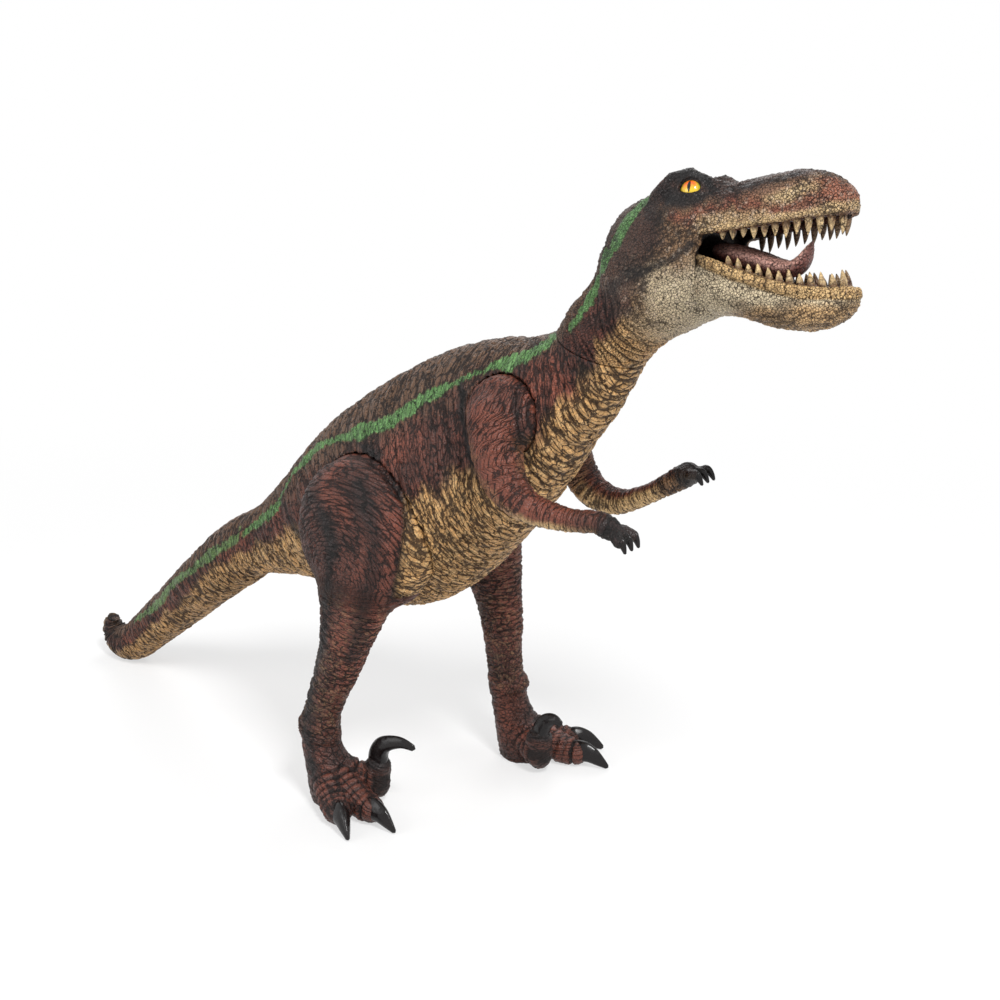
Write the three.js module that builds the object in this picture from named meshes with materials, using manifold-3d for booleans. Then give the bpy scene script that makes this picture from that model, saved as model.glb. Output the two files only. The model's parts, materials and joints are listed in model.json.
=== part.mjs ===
// Toy dinosaur in painted soft vinyl, standing on two feet and the underside of its tail.
// Millimetres. +X is the way it faces, +Y its left side, +Z up. The ground is z = 0.
import * as THREE from 'three';
import { mergeVertices } from 'three/addons/utils/BufferGeometryUtils.js';
import Module from 'manifold-3d';

const wasm = await Module();
wasm.setup();

// Casting and fits
const WALL = 3.2; // vinyl wall of the hollow castings
const GAP = 0.3; // between pieces that touch
const LIP = 2.2; // skin of the lips outside the gums

// Swivel joints: a flanged stud, fixed to the limb, is held in the trunk's wall by a ring
const STEM_R = 5.5;
const FLANGE_R = 13;
const FLANGE_T = 2.5;
const RING_R = 11;
const RING_T = 2;
const BARB = 1.2; // how far the stud's barbed end stands out past the stem
const BARB_LENGTH = 4;

// Places of the joints on the trunk
const NECK = { x: 121, y: 0, z: 305, lean: 162, radius: 26.5 };
const TAIL = { x: -157, y: 0, z: 133, lean: 97, radius: 23.5 };
const HIP_X = -22;
const HIP_Z = 177;
const HIP_FACE_Y = 33; // from the middle plane to the flat inner face of a haunch
const HAUNCH_R = 49;
const HAUNCH_THICK = 33;
const SHOULDER_X = 75;
const SHOULDER_Z = 259;
const SHOULDER_FACE_Y = 24;
const SHOULDER_R = 24;
const SHOULDER_THICK = 19;
const ARM_FLOOR = 9; // from the shoulder's face to the inner side of the arm past it
const ARM_SWEEP_R = 41; // the chest is dished this far round the shoulder, for the arm to swing
const CHEST_ROLL = -9; // the chest and head lean to the figure's left

// Main folds round the trunk, along its middle line
const FOLD_APART = 25;
const FOLD_DEPTH = 1.3;
const FOLD_HALF = 4.5; // from a fold's bottom to its edge
const FOLD_ABOVE = 0.5; // depth on the back, as a share of the depth under the belly

// Head, in its own frame: x along the snout, y to its left, z up
const HEAD = { x: 150, y: 0, z: 350, pitch: 12, roll: -11 };
const EYE = { x: 41, y: 17.5, z: 34, radius: 6.6 };
const MOUTH_CORNER_X = 44;
const TEETH_PER_SIDE = 12;
const TOOTH_SIDES = 4;
const TOOTH_R = 1.5;
const GUM_WIDTH = 3.6;
const GUM_HEIGHT = 3.5;

// Legs and feet
const LEG_SWING = { right: -10, left: 14.5 }; // stride, degrees forward of straight
const FOOT_TURN = { right: 19, left: 26 }; // outwards
const FOOT_Y = 62;
const ANKLE_Z = 46;
const TOE_R = 10.5;
const TOE_CLAW = 20;

const rad = THREE.MathUtils.degToRad;
const vec = (x, y, z) => new THREE.Vector3(x, y, z);

// One number carried smoothly through four neighbours, t from 0 at b to 1 at c
function catmull(a, b, c, d, t) {
  const bend = 2 * a - 5 * b + 4 * c - d;
  const twist = 3 * (b - c) + d - a;
  return b + 0.5 * t * (c - a + t * (bend + t * twist));
}

// Rows of numbers, with smooth rows put between them
function through(rows, steps) {
  const last = rows.length - 1;
  const out = [];
  for (let i = 0; i < last; i++) {
    const near = [rows[Math.max(i - 1, 0)], rows[i], rows[i + 1], rows[Math.min(i + 2, last)]];
    for (let s = 0; s < steps; s++) {
      out.push(near[1].map((_, k) => catmull(...near.map((row) => row[k]), s / steps)));
    }
  }
  out.push(rows[last]);
  return out;
}

// A closed skin through rings of points, with a point over each end
function loft(rings, start, end) {
  const sides = rings[0].length;
  const points = [...rings.flat(), start, end];
  const index = [];
  for (let r = 0; r + 1 < rings.length; r++) {
    for (let k = 0; k < sides; k++) {
      const a = r * sides + k;
      const b = r * sides + ((k + 1) % sides);
      index.push(a, b, b + sides, a, b + sides, a + sides);
    }
  }
  const top = (rings.length - 1) * sides;
  for (let k = 0; k < sides; k++) {
    const next = (k + 1) % sides;
    index.push(points.length - 2, next, k, points.length - 1, top + k, top + next);
  }
  const geometry = new THREE.BufferGeometry().setFromPoints(points);
  geometry.setIndex(volumeOf(points, index) < 0 ? index.reverse() : index);
  return geometry;
}

function volumeOf(points, index) {
  let six = 0;
  for (let i = 0; i < index.length; i += 3) {
    const [a, b, c] = [points[index[i]], points[index[i + 1]], points[index[i + 2]]];
    six += a.dot(b.clone().cross(c));
  }
  return six / 6;
}

// A section: an ellipse in the plane of the middle plane's direction "lean" and the sideways axis.
// Row: x, y, z, half height, half width, lean, roll, how much narrower the top is than the bottom,
// and how deep a fold of the skin draws the section in, most of all below.
function section([x, y, z, high, wide, lean, roll, taper, fold = 0], sides, inset) {
  const up0 = vec(Math.cos(rad(lean)), 0, Math.sin(rad(lean)));
  const side0 = vec(0, 1, 0);
  const c = Math.cos(rad(roll));
  const s = Math.sin(rad(roll));
  const side = side0.clone().multiplyScalar(c).addScaledVector(up0, s);
  const up = up0.clone().multiplyScalar(c).addScaledVector(side0, -s);
  return Array.from({ length: sides }, (_, k) => {
    const t = (2 * Math.PI * k) / sides;
    const drawn = inset + fold * (FOLD_ABOVE + (1 - FOLD_ABOVE) * 0.5 * (1 - Math.sin(t)));
    const across = (wide - drawn) * Math.cos(t) * (1 - taper * Math.sin(t));
    return vec(x, y, z).addScaledVector(side, across).addScaledVector(up, (high - drawn) * Math.sin(t));
  });
}

const middle = (ring) => ring.reduce((sum, p) => sum.add(p), vec(0, 0, 0)).divideScalar(ring.length);

function trunkLine(rows, sides, inset = 0) {
  const rings = rows.map((row) => section(row, sides, inset));
  return loft(rings, middle(rings[0]), middle(rings.at(-1)));
}

// A tapering round piece along points [x, y, z, radius], closed by a dome at each end.
// Its sections are square to the path, and flat scales their height.
function taper(rows, { sides = 10, steps = 2, grow = 0, domes = [0.5, 0.5], flat = 1 } = {}) {
  const fine = through(rows, steps);
  const at = fine.map(([x, y, z]) => vec(x, y, z));
  const away = at.map((_, i) => at[Math.min(i + 1, at.length - 1)].clone().sub(at[Math.max(i - 1, 0)]).normalize());
  const helper = Math.abs(away[0].y) > 0.9 ? vec(1, 0, 0) : vec(0, 1, 0);
  const rings = fine.map((row, i) => {
    const up = away[i].clone().cross(helper).normalize();
    const side = up.clone().cross(away[i]).normalize();
    const radius = row[3] + grow;
    return Array.from({ length: sides }, (_, k) => {
      const t = (2 * Math.PI * k) / sides;
      return at[i].clone().addScaledVector(side, radius * Math.cos(t)).addScaledVector(up, flat * radius * Math.sin(t));
    });
  });
  const endOf = (i, way, dome) => at[i].clone().addScaledVector(away[i], way * (fine[i][3] * dome + grow));
  return loft(rings, endOf(0, -1, domes[0]), endOf(at.length - 1, 1, domes[1]));
}

// Solids for joining and cutting
function solid(geometry) {
  const bare = geometry.clone();
  bare.deleteAttribute('normal');
  bare.deleteAttribute('uv');
  const merged = mergeVertices(bare, 1e-4);
  const vertProperties = new Float32Array(merged.attributes.position.array);
  const triVerts = new Uint32Array(merged.index.array);
  return new wasm.Manifold(new wasm.Mesh({ numProp: 3, vertProperties, triVerts }));
}

const joined = (solids) => solids.reduce((sum, next) => sum.add(next));
const without = (whole, cuts) => cuts.reduce((rest, cut) => rest.subtract(cut), whole);

function turned(geometry, from, axis) {
  const turn = new THREE.Quaternion().setFromUnitVectors(vec(0, 0, 1), axis.clone().normalize());
  return geometry.applyQuaternion(turn).translate(from.x, from.y, from.z);
}

// The half of space past a plane, as a large block
const BLOCK = 900;
function beyond(point, normal) {
  const block = new THREE.BoxGeometry(BLOCK, BLOCK, BLOCK).translate(0, 0, BLOCK / 2);
  return solid(turned(block, point, normal));
}

const shifted = (point, normal, by) => point.clone().addScaledVector(normal, by);
const GROUND = beyond(vec(0, 0, 0), vec(0, 0, -1));

const PAINTS = {
  skin: { color: 0x5e342a, roughness: 0.42 },
  jaw: { color: 0x8b8066, roughness: 0.45 },
  tooth: { color: 0xb9a67c, roughness: 0.4 },
  tongue: { color: 0x6d4a47, roughness: 0.4 },
  eye: { color: 0xd99a1e, roughness: 0.12 },
  claw: { color: 0x141315, roughness: 0.25 },
  fitting: { color: 0xd8d5cc, roughness: 0.5 },
};

const SLIVER = 0.02; // edges shorter than this are closed up
function piece(name, shape, paint) {
  const { vertProperties, triVerts } = shape.simplify(SLIVER).getMesh();
  const geometry = new THREE.BufferGeometry();
  geometry.setAttribute('position', new THREE.BufferAttribute(new Float32Array(vertProperties), 3));
  geometry.setIndex(Array.from(triVerts));
  geometry.computeVertexNormals();
  const material = new THREE.MeshStandardMaterial({ ...PAINTS[paint], metalness: 0 });
  const mesh = new THREE.Mesh(geometry, material);
  mesh.name = name;
  return mesh;
}

// Swivel joints. Along the axis, out of the trunk, the joint's plane is at 0.
const FLANGE_AT = GAP / 2 + WALL + GAP;
const RING_AT = -FLANGE_AT;
const BARB_AT = RING_AT - RING_T - GAP;
const TURN_SIDES = 16;

function lathe(profile, point, axis) {
  const geometry = new THREE.LatheGeometry(profile.map(([r, z]) => new THREE.Vector2(r, z)), TURN_SIDES);
  return solid(turned(geometry.rotateX(Math.PI / 2), point, axis));
}

function swivel(name, point, axis) {
  const stud = lathe([
    [0, BARB_AT - BARB_LENGTH], [STEM_R - BARB, BARB_AT - BARB_LENGTH], [STEM_R + BARB, BARB_AT], [STEM_R, BARB_AT],
    [STEM_R, FLANGE_AT], [FLANGE_R, FLANGE_AT], [FLANGE_R, FLANGE_AT + FLANGE_T], [0, FLANGE_AT + FLANGE_T],
  ], point, axis);
  const hole = STEM_R + GAP;
  const ring = lathe([
    [hole, RING_AT - RING_T], [RING_R, RING_AT - RING_T], [RING_R, RING_AT], [hole, RING_AT], [hole, RING_AT - RING_T],
  ], point, axis);
  const bore = lathe([[0, -3 * WALL], [hole, -3 * WALL], [hole, 3 * WALL], [0, 3 * WALL]], point, axis);
  return { point, axis, bore, pieces: [piece(`${name}_stud`, stud, 'fitting'), piece(`${name}_ring`, ring, 'fitting')] };
}

const along = (lean) => vec(Math.sin(rad(lean)), 0, -Math.cos(rad(lean)));
const neckSwivel = swivel('neck', vec(NECK.x, NECK.y, NECK.z), along(NECK.lean));
const tailSwivel = swivel('tail', vec(TAIL.x, TAIL.y, TAIL.z), along(TAIL.lean).negate());

const SIDES = { right: -1, left: 1 };
const chestSide = (s) => vec(0, s * Math.cos(rad(CHEST_ROLL)), s * Math.sin(rad(CHEST_ROLL)));
const hips = {};
const shoulders = {};
for (const [side, s] of Object.entries(SIDES)) {
  hips[side] = swivel(`${side}_hip`, vec(HIP_X, s * HIP_FACE_Y, HIP_Z), vec(0, s, 0));
  const shoulder = shifted(vec(SHOULDER_X, 0, SHOULDER_Z), chestSide(s), SHOULDER_FACE_Y);
  shoulders[side] = swivel(`${side}_shoulder`, shoulder, chestSide(s));
}

// The body line from the tail's tip to the neck's top, one casting form cut at the neck and the tail root.
// Rows: x, y, z, half height, half width, lean, roll, taper
const SKIN_SIDES = 16;
const bodyRows = [
  [-339, 9, 29, 4.5, 4.5, -22, 0, 0],
  [-341, 9, 23.5, 7.2, 7.2, 12, 0, 0],
  [-336, 9, 16, 10.5, 10.5, 49, 0, 0],
  [-325, 9, 12.2, 13.2, 13, 95, 0, 0],
  [-309, 8, 18.5, 14.6, 14.3, 119, 0, 0],
  [-290, 8, 33.5, 15.8, 15.3, 127, 0, 0],
  [-258, 6, 58.5, 18, 17.4, 128, 0, 0],
  [-211, 3, 96.5, 21.2, 20.4, 127, 0, 0],
  [-180, 1, 119, 22.8, 22.2, 116, 0, 0],
  [TAIL.x, TAIL.y, TAIL.z, TAIL.radius, TAIL.radius, TAIL.lean, 0, 0],
  [-137, 0, 142, 27, 26.5, 106, 0, 0],
  [-112, 0, 153, 35, 34, 114, 0, 0.05],
  [-77, 0, 167, 51, 41, 121, 0, 0.1],
  [-42, 0, 180, 66, 46, 118, 0, 0.12],
  [0, 0, 205.5, 68.5, 47, 114, -2, 0.12],
  [37, 0, 232.5, 61.5, 44, 114, -5, 0.12],
  [69.5, 0, 257, 48.5, 39, 118, CHEST_ROLL, 0.1],
  [90.5, 0, 274, 36.5, 34, 127, CHEST_ROLL, 0.06],
  [108, 0, 289, 30, 29, 143, CHEST_ROLL, 0],
  [NECK.x, NECK.y, NECK.z, NECK.radius, NECK.radius, NECK.lean, 0, 0],
  [133.5, 0, 320.5, 29.8, 27, 166, -5, 0],
  [152, 0, 337, 33.5, 27.5, 166, HEAD.roll, 0],
  [159, 0, 351, 34, 26, 165, HEAD.roll, 0],
  [164, 0, 361, 24, 17, 165, HEAD.roll, 0],
];
const TAIL_ROW = 9;
const NECK_ROW = 19;
const LINE_STEPS = 8;
const bodyLine = through(bodyRows, LINE_STEPS);
const everyOther = (from, to) => bodyLine.filter((_, i) => i >= from && i <= to && i % (LINE_STEPS / 2) === 0);

// Rows from the tail joint to the neck joint, three to each fold: edge, bottom, edge
function foldedRows() {
  const line = bodyLine.slice(TAIL_ROW * LINE_STEPS, NECK_ROW * LINE_STEPS + 1);
  const reach = [0];
  for (let i = 1; i < line.length; i++) {
    reach.push(reach[i - 1] + Math.hypot(line[i][0] - line[i - 1][0], line[i][2] - line[i - 1][2]));
  }
  const rowAt = (distance, fold) => {
    const i = reach.findIndex((r, k) => k > 0 && r >= distance);
    const share = (distance - reach[i - 1]) / (reach[i] - reach[i - 1]);
    return [...line[i].map((value, k) => line[i - 1][k] + (value - line[i - 1][k]) * share), fold];
  };
  const rows = [];
  for (let at = FOLD_APART / 2; at + FOLD_APART / 2 < reach.at(-1); at += FOLD_APART) {
    rows.push(rowAt(at - FOLD_HALF, 0), rowAt(at, FOLD_DEPTH), rowAt(at + FOLD_HALF, 0));
  }
  return rows;
}

const fineBody = [
  ...everyOther(0, TAIL_ROW * LINE_STEPS),
  ...foldedRows(),
  ...everyOther(NECK_ROW * LINE_STEPS, Infinity),
];
const bodyForm = solid(trunkLine(fineBody, SKIN_SIDES));
const TIP_SOLID = 7; // the tail's tip is solid where its hollow would be thinner than this
const HOLLOW_SIDES = 12;
const hollowRows = bodyRows.filter((row) => row[3] > WALL + TIP_SOLID);
const bodyHollow = solid(trunkLine(hollowRows, HOLLOW_SIDES, WALL));

// The part of a form between two planes, each given as a point and the way out of the part
const between = (form, planes) => without(form, planes.map(([point, normal]) => beyond(point, normal)));

const intoHead = neckSwivel.axis;
const intoTail = tailSwivel.axis;
const neckPlane = (by) => shifted(neckSwivel.point, intoHead, by);
const tailPlane = (by) => shifted(tailSwivel.point, intoTail, by);

// A round pocket in the trunk, for a haunch or a shoulder that turns in it.
// Its flats, not its corners, are at the radius.
function pocket(point, axis, radius, floor) {
  const corner = radius / Math.cos(Math.PI / TURN_SIDES);
  return lathe([[0, floor], [corner, floor], [corner, 3 * HAUNCH_R], [0, 3 * HAUNCH_R]], point, axis);
}

// A shallow dish in the chest round a shoulder, for the upper arm to swing over
function dish(point, axis, radius, floor) {
  const rise = SHOULDER_THICK - ARM_FLOOR;
  return lathe([
    [0, floor], [radius, floor], [radius * 1.6, floor + rise], [radius * 1.6, 3 * HAUNCH_R], [0, 3 * HAUNCH_R],
  ], point, axis);
}

function makeTorso() {
  const half = GAP / 2;
  const skin = between(bodyForm, [[neckPlane(-half), intoHead], [tailPlane(-half), intoTail]]);
  const inside = between(bodyHollow, [[neckPlane(-half - WALL), intoHead], [tailPlane(-half - WALL), intoTail]]);
  const pockets = [];
  const guards = [];
  for (const [joints, radius] of [[hips, HAUNCH_R], [shoulders, SHOULDER_R]]) {
    for (const { point, axis } of Object.values(joints)) {
      pockets.push(pocket(point, axis, radius + GAP, -half));
      guards.push(pocket(point, axis, radius + GAP + WALL, -half - WALL));
    }
  }
  for (const { point, axis } of Object.values(shoulders)) {
    pockets.push(dish(point, axis, ARM_SWEEP_R, ARM_FLOOR - GAP));
    guards.push(dish(point, axis, ARM_SWEEP_R + WALL, ARM_FLOOR - GAP - WALL));
  }
  const bores = [neckSwivel, tailSwivel, ...Object.values(hips), ...Object.values(shoulders)].map((j) => j.bore);
  return without(skin, [...pockets, without(inside, guards), ...bores]);
}

function makeTail() {
  const half = GAP / 2;
  const skin = between(bodyForm, [[tailPlane(half), intoTail.clone().negate()]]);
  const inside = between(bodyHollow, [[tailPlane(half + WALL), intoTail.clone().negate()]]);
  return without(skin, [inside, tailSwivel.bore, GROUND]);
}

// Head frame
const headTurn = new THREE.Matrix4()
  .makeRotationY(-rad(HEAD.pitch))
  .multiply(new THREE.Matrix4().makeRotationX(rad(HEAD.roll)))
  .setPosition(HEAD.x, HEAD.y, HEAD.z);
const onHead = (geometry) => solid(geometry.applyMatrix4(headTurn));

// Skull and jaws as upright sections along the snout. Rows: x, top, bottom, half width
function upright(rows, { sides = 16, steps = 2, inset = 0 } = {}) {
  const rings = through(rows, steps).map(([x, top, bottom, half]) => {
    const high = (top - bottom) / 2 - inset;
    return section([x, 0, (top + bottom) / 2, high, half - inset, 90, 0, 0], sides, 0);
  });
  return loft(rings, middle(rings[0]), middle(rings.at(-1)));
}

const skullRows = [
  [-21, 17, -2, 8],
  [-15, 28, -16, 18],
  [-2, 36.5, -28, 25],
  [14, 40, -31, 28],
  [30, 43.5, -29, 28],
  [46, 41, -28, 26],
];
const snoutRows = [
  [30, 43.5, -2, 27],
  [44, 41, 4, 26],
  [56, 37, 8, 24],
  [72, 38, 9, 21.5],
  [86, 39.5, 10, 19.5],
  [100, 39, 11.5, 17.5],
  [110, 36, 12.5, 14.5],
  [118, 30.5, 13.5, 11],
  [123, 24, 15.5, 5],
];
const jawRows = [
  [MOUTH_CORNER_X - 8, 8, -28, 25],
  [50, 3, -29, 23.5],
  [62, -3, -32, 22],
  [76, -10, -37.5, 20],
  [90, -15.5, -40.5, 18],
  [102, -19, -40.5, 16],
  [112, -20.5, -37.5, 12.5],
  [118, -21.5, -33.5, 9],
  [122, -23, -30, 4],
];
const upperLip = (x) => 10.8 + 0.045 * (x - MOUTH_CORNER_X);
const lowerLip = (x) => THREE.MathUtils.lerp(-0.5, -20.5, Math.sin(rad(90 * Math.min((x - 52) / 64, 1))));
const halfAt = (rows) => (x) => {
  const next = Math.max(1, rows.findIndex((row) => row[0] >= x));
  const [a, b] = [rows[next - 1], rows[next]];
  return THREE.MathUtils.mapLinear(x, a[0], b[0], a[3], b[3]);
};

// A flat U in the plan of a jaw, from x0 round the front and back, laid on the lip's line
const ARCH_STEPS = 7;
function archPlan(halfWidth, x0, x1, shrink) {
  const edge = [];
  for (let i = 0; i <= ARCH_STEPS; i++) {
    const x = x0 + (x1 - shrink - x0) * Math.sin((Math.PI / 2) * (i / ARCH_STEPS));
    const round = Math.sqrt(Math.max(0, 1 - ((x - x0) / (x1 - shrink - x0)) ** 6));
    edge.push(new THREE.Vector2(x, Math.max(0.8, (halfWidth(x) - shrink) * round)));
  }
  return edge;
}

const mirrored = (edge) => edge.map((p) => new THREE.Vector2(p.x, -p.y)).reverse();

// What lies inside an outline and between two heights over the lip's line
const LIP_STEP = 7;
function alongLip(outline, low, high, lipAt) {
  const tall = { depth: 160, bevelEnabled: false, steps: 1 };
  const prism = new THREE.ExtrudeGeometry(new THREE.Shape(outline), tall).translate(0, 0, -80);
  const xs = Array.from({ length: 14 }, (_, i) => MOUTH_CORNER_X - LIP_STEP + LIP_STEP * i);
  const profile = [
    ...xs.map((x) => new THREE.Vector2(x, lipAt(x) + low)),
    ...xs.reverse().map((x) => new THREE.Vector2(x, lipAt(x) + high)),
  ];
  const slab = new THREE.ExtrudeGeometry(new THREE.Shape(profile), tall).rotateX(Math.PI / 2).translate(0, 80, 0);
  return solid(prism.applyMatrix4(headTurn)).intersect(solid(slab.applyMatrix4(headTurn)));
}

const UPPER = { half: halfAt(snoutRows), lip: upperLip, x0: 56, x1: 121, way: -1 };
const LOWER = { half: halfAt(jawRows), lip: lowerLip, x0: 58, x1: 120, way: 1 };

// The recess inside the lips, open towards the mouth
function mouthRecess(jaw) {
  const edge = archPlan(jaw.half, jaw.x0 - GAP, jaw.x1 + GAP, LIP - GAP);
  const back = [new THREE.Vector2(MOUTH_CORNER_X - 1, edge[0].y), new THREE.Vector2(MOUTH_CORNER_X - 1, -edge[0].y)];
  const deep = GUM_HEIGHT + GAP;
  const outline = [...edge, ...mirrored(edge), back[1], back[0]];
  const range = jaw.way < 0 ? [-10, deep] : [-deep, 14];
  return alongLip(outline, ...range, jaw.lip);
}

function toothRow(jaw) {
  const outer = archPlan(jaw.half, jaw.x0, jaw.x1, LIP);
  const inner = archPlan(jaw.half, jaw.x0, jaw.x1, LIP + GUM_WIDTH);
  const outline = [...outer, ...mirrored(outer), ...mirrored(inner).reverse(), ...[...inner].reverse()];
  const range = jaw.way < 0 ? [0, GUM_HEIGHT] : [-GUM_HEIGHT, 0];
  const gum = alongLip(outline, ...range, jaw.lip);
  const teeth = [];
  for (let i = 0; i < TEETH_PER_SIDE; i++) {
    const share = (i + 0.6) / TEETH_PER_SIDE;
    const reach = Math.sin((Math.PI / 2) * share ** 0.8);
    const x = jaw.x0 + (jaw.x1 - LIP - GUM_WIDTH / 2 - jaw.x0) * reach;
    const y = Math.max(TOOTH_R, (jaw.half(x) - LIP - GUM_WIDTH / 2) * Math.sqrt(1 - reach ** 6));
    const long = (jaw.way < 0 ? 8 + 1.5 * share : 5 + 4.5 * share) + 0.7 * Math.sin(2.4 * i);
    for (const s of [-1, 1]) {
      const root = jaw.lip(x) - jaw.way;
      teeth.push(taper([
        [x, s * y, root, TOOTH_R],
        [x - 0.2, s * y, jaw.lip(x) + jaw.way * long * 0.5, TOOTH_R * 0.8],
      ], { sides: TOOTH_SIDES, steps: 1, domes: [0, long * 0.5 / (TOOTH_R * 0.8)] }));
    }
  }
  return joined([gum, ...teeth.map(onHead)]);
}

function eyeBall(s, grow = 0) {
  const ball = new THREE.SphereGeometry(EYE.radius + grow, 14, 8).rotateX(Math.PI / 2);
  return ball.translate(EYE.x, s * EYE.y, EYE.z);
}

function browRidge(s) {
  return taper([
    [18, s * 16, 35, 4],
    [29, s * 17, 41, 5.5],
    [39, s * 16.5, 42.5, 5.5],
    [48, s * 14.5, 37.5, 4.2],
    [56, s * 12, 33, 3],
  ], { sides: 8, steps: 1 });
}

function makeHead() {
  const neck = between(bodyForm, [[neckPlane(GAP / 2), intoHead.clone().negate()]]);
  const neckHollow = between(bodyHollow, [[neckPlane(GAP / 2 + WALL), intoHead.clone().negate()]]);
  const lowFront = new THREE.BoxGeometry(200, 120, 80).translate(MOUTH_CORNER_X + 100, 0, -40 + 6);
  const skull = onHead(upright(skullRows)).subtract(onHead(lowFront));
  const form = joined([neck, skull, onHead(upright(snoutRows)), ...[-1, 1].map((s) => onHead(browRidge(s)))]);
  const skullHollow = onHead(upright(skullRows.slice(1), { sides: 10, steps: 1, inset: WALL })).subtract(onHead(
    new THREE.BoxGeometry(200, 120, 120).translate(MOUTH_CORNER_X - 2 * WALL + 100, 0, 0),
  ));
  const guards = [-1, 1].map((s) => onHead(eyeBall(s, WALL)));
  const hollow = without(joined([neckHollow, skullHollow]), guards);
  const sockets = [-1, 1].map((s) => onHead(eyeBall(s, GAP)));
  return without(form, [hollow, neckSwivel.bore, mouthRecess(UPPER), ...sockets]);
}

function makeJaw() {
  const behind = new THREE.BoxGeometry(100, 120, 120).translate(MOUTH_CORNER_X + GAP - 50, 0, 0);
  return without(onHead(upright(jawRows)), [onHead(behind), mouthRecess(LOWER)]);
}

// The tongue arches at its back and curls up at its tip. Its root fills down to the jaw's floor.
const TONGUE_HALF = 8.5;
function makeTongue() {
  const rows = [
    [50, 0, 5, TONGUE_HALF - 0.5],
    [58, 0, 2, TONGUE_HALF],
    [68, 0, -3, TONGUE_HALF],
    [79, 0, -8, TONGUE_HALF - 1],
    [88, 0, -10, TONGUE_HALF - 2.5],
    [94, 0, -5, TONGUE_HALF - 4.5],
    [97, 0, 1, TONGUE_HALF - 6.5],
  ];
  const tip = onHead(taper(rows, { sides: 12, flat: 0.42 }));
  const [back, front, side] = [MOUTH_CORNER_X + 6, MOUTH_CORNER_X + 38, TONGUE_HALF - 2];
  const plan = [[back, -side], [front, 1 - side], [front, side - 1], [back, side]];
  const root = alongLip(plan.map(([x, y]) => new THREE.Vector2(x, y)), -GUM_HEIGHT, 4, lowerLip);
  return tip.add(root);
}

// Haunch or shoulder: a round flat-backed dome on the joint's axis
function dome(point, axis, radius, thick) {
  const half = GAP / 2;
  return lathe([
    [0, half], [radius, half], [radius, thick * 0.42], [radius * 0.9, thick * 0.68],
    [radius * 0.66, thick * 0.88], [radius * 0.34, thick * 0.98], [0, thick],
  ], point, axis);
}

function domeHollow(point, axis, radius, thick) {
  const half = GAP / 2 + WALL;
  const r = radius - WALL;
  return lathe([
    [0, half], [r, half], [r, thick * 0.42 - WALL / 2], [r * 0.8, thick * 0.68 - WALL], [0, thick * 0.8 - WALL],
  ], point, axis);
}

// Leg rows, straight, before the stride: x from the hip, y outwards, z, half length, half width
const legRows = [
  [-2, 50, 196, 34, 15],
  [4, 52, 172, 35, 18.5],
  [7, 54, 152, 29.5, 19],
  [9, 56, 134, 23, 17.5],
  [8, 58, 113, 17.5, 14.5],
  [5, 60, 90, 14.5, 12.5],
  [0, 61, 68, 12.5, 11.2],
  [-2.5, FOOT_Y, 52, 11.8, 11],
  [-1, FOOT_Y, 38, 13, 12],
  [5, FOOT_Y, 24, 16, 14],
  [9, FOOT_Y, 11, 17.5, 15],
  [9, FOOT_Y, -1, 15.5, 13],
];

function strideRow([x, y, z, long, wide], side) {
  const swing = rad(LEG_SWING[side]);
  const down = HIP_Z - Math.max(z, ANKLE_Z);
  const at = HIP_X + x * Math.cos(swing) + down * Math.sin(swing);
  const height = z > ANKLE_Z ? HIP_Z - down * Math.cos(swing) + x * Math.sin(swing) : z;
  return [at, SIDES[side] * y, height, long, wide, z > ANKLE_Z ? LEG_SWING[side] : 0, 0, 0];
}

// A toe leaves the ankle at a heading, runs along the ground and carries a claw
function footPoint(side, ahead, aside, z, heading) {
  const s = SIDES[side];
  const ankle = strideRow([0, FOOT_Y, ANKLE_Z, 0, 0], side);
  const way = rad(s * (FOOT_TURN[side] + heading));
  const x = ankle[0] + ahead * Math.cos(way) - s * aside * Math.sin(way);
  const y = ankle[1] + ahead * Math.sin(way) + s * aside * Math.cos(way);
  return [x, y, z];
}

const groundToes = { outer: { heading: 11, long: 43 }, inner: { heading: -9, long: 50 } };
function toeRows(side, { heading, long }) {
  return [
    [...footPoint(side, 2, 0, 22, heading), TOE_R + 1.5],
    [...footPoint(side, long * 0.45, 0, 14.5, heading), TOE_R + 1],
    [...footPoint(side, long * 0.8, 0, TOE_R - 1, heading), TOE_R + 0.4],
    [...footPoint(side, long, 0, TOE_R - 1.5, heading), TOE_R - 2],
  ];
}

function toeClawRows(side, { heading, long }) {
  const from = long - 1;
  return [
    [...footPoint(side, from, 0, 10, heading), 6.4],
    [...footPoint(side, from + TOE_CLAW * 0.45, 0, 8, heading), 5],
    [...footPoint(side, from + TOE_CLAW * 0.8, 0, 3.6, heading), 3],
    [...footPoint(side, from + TOE_CLAW, 0, 1, heading), 1.6],
  ];
}

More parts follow.
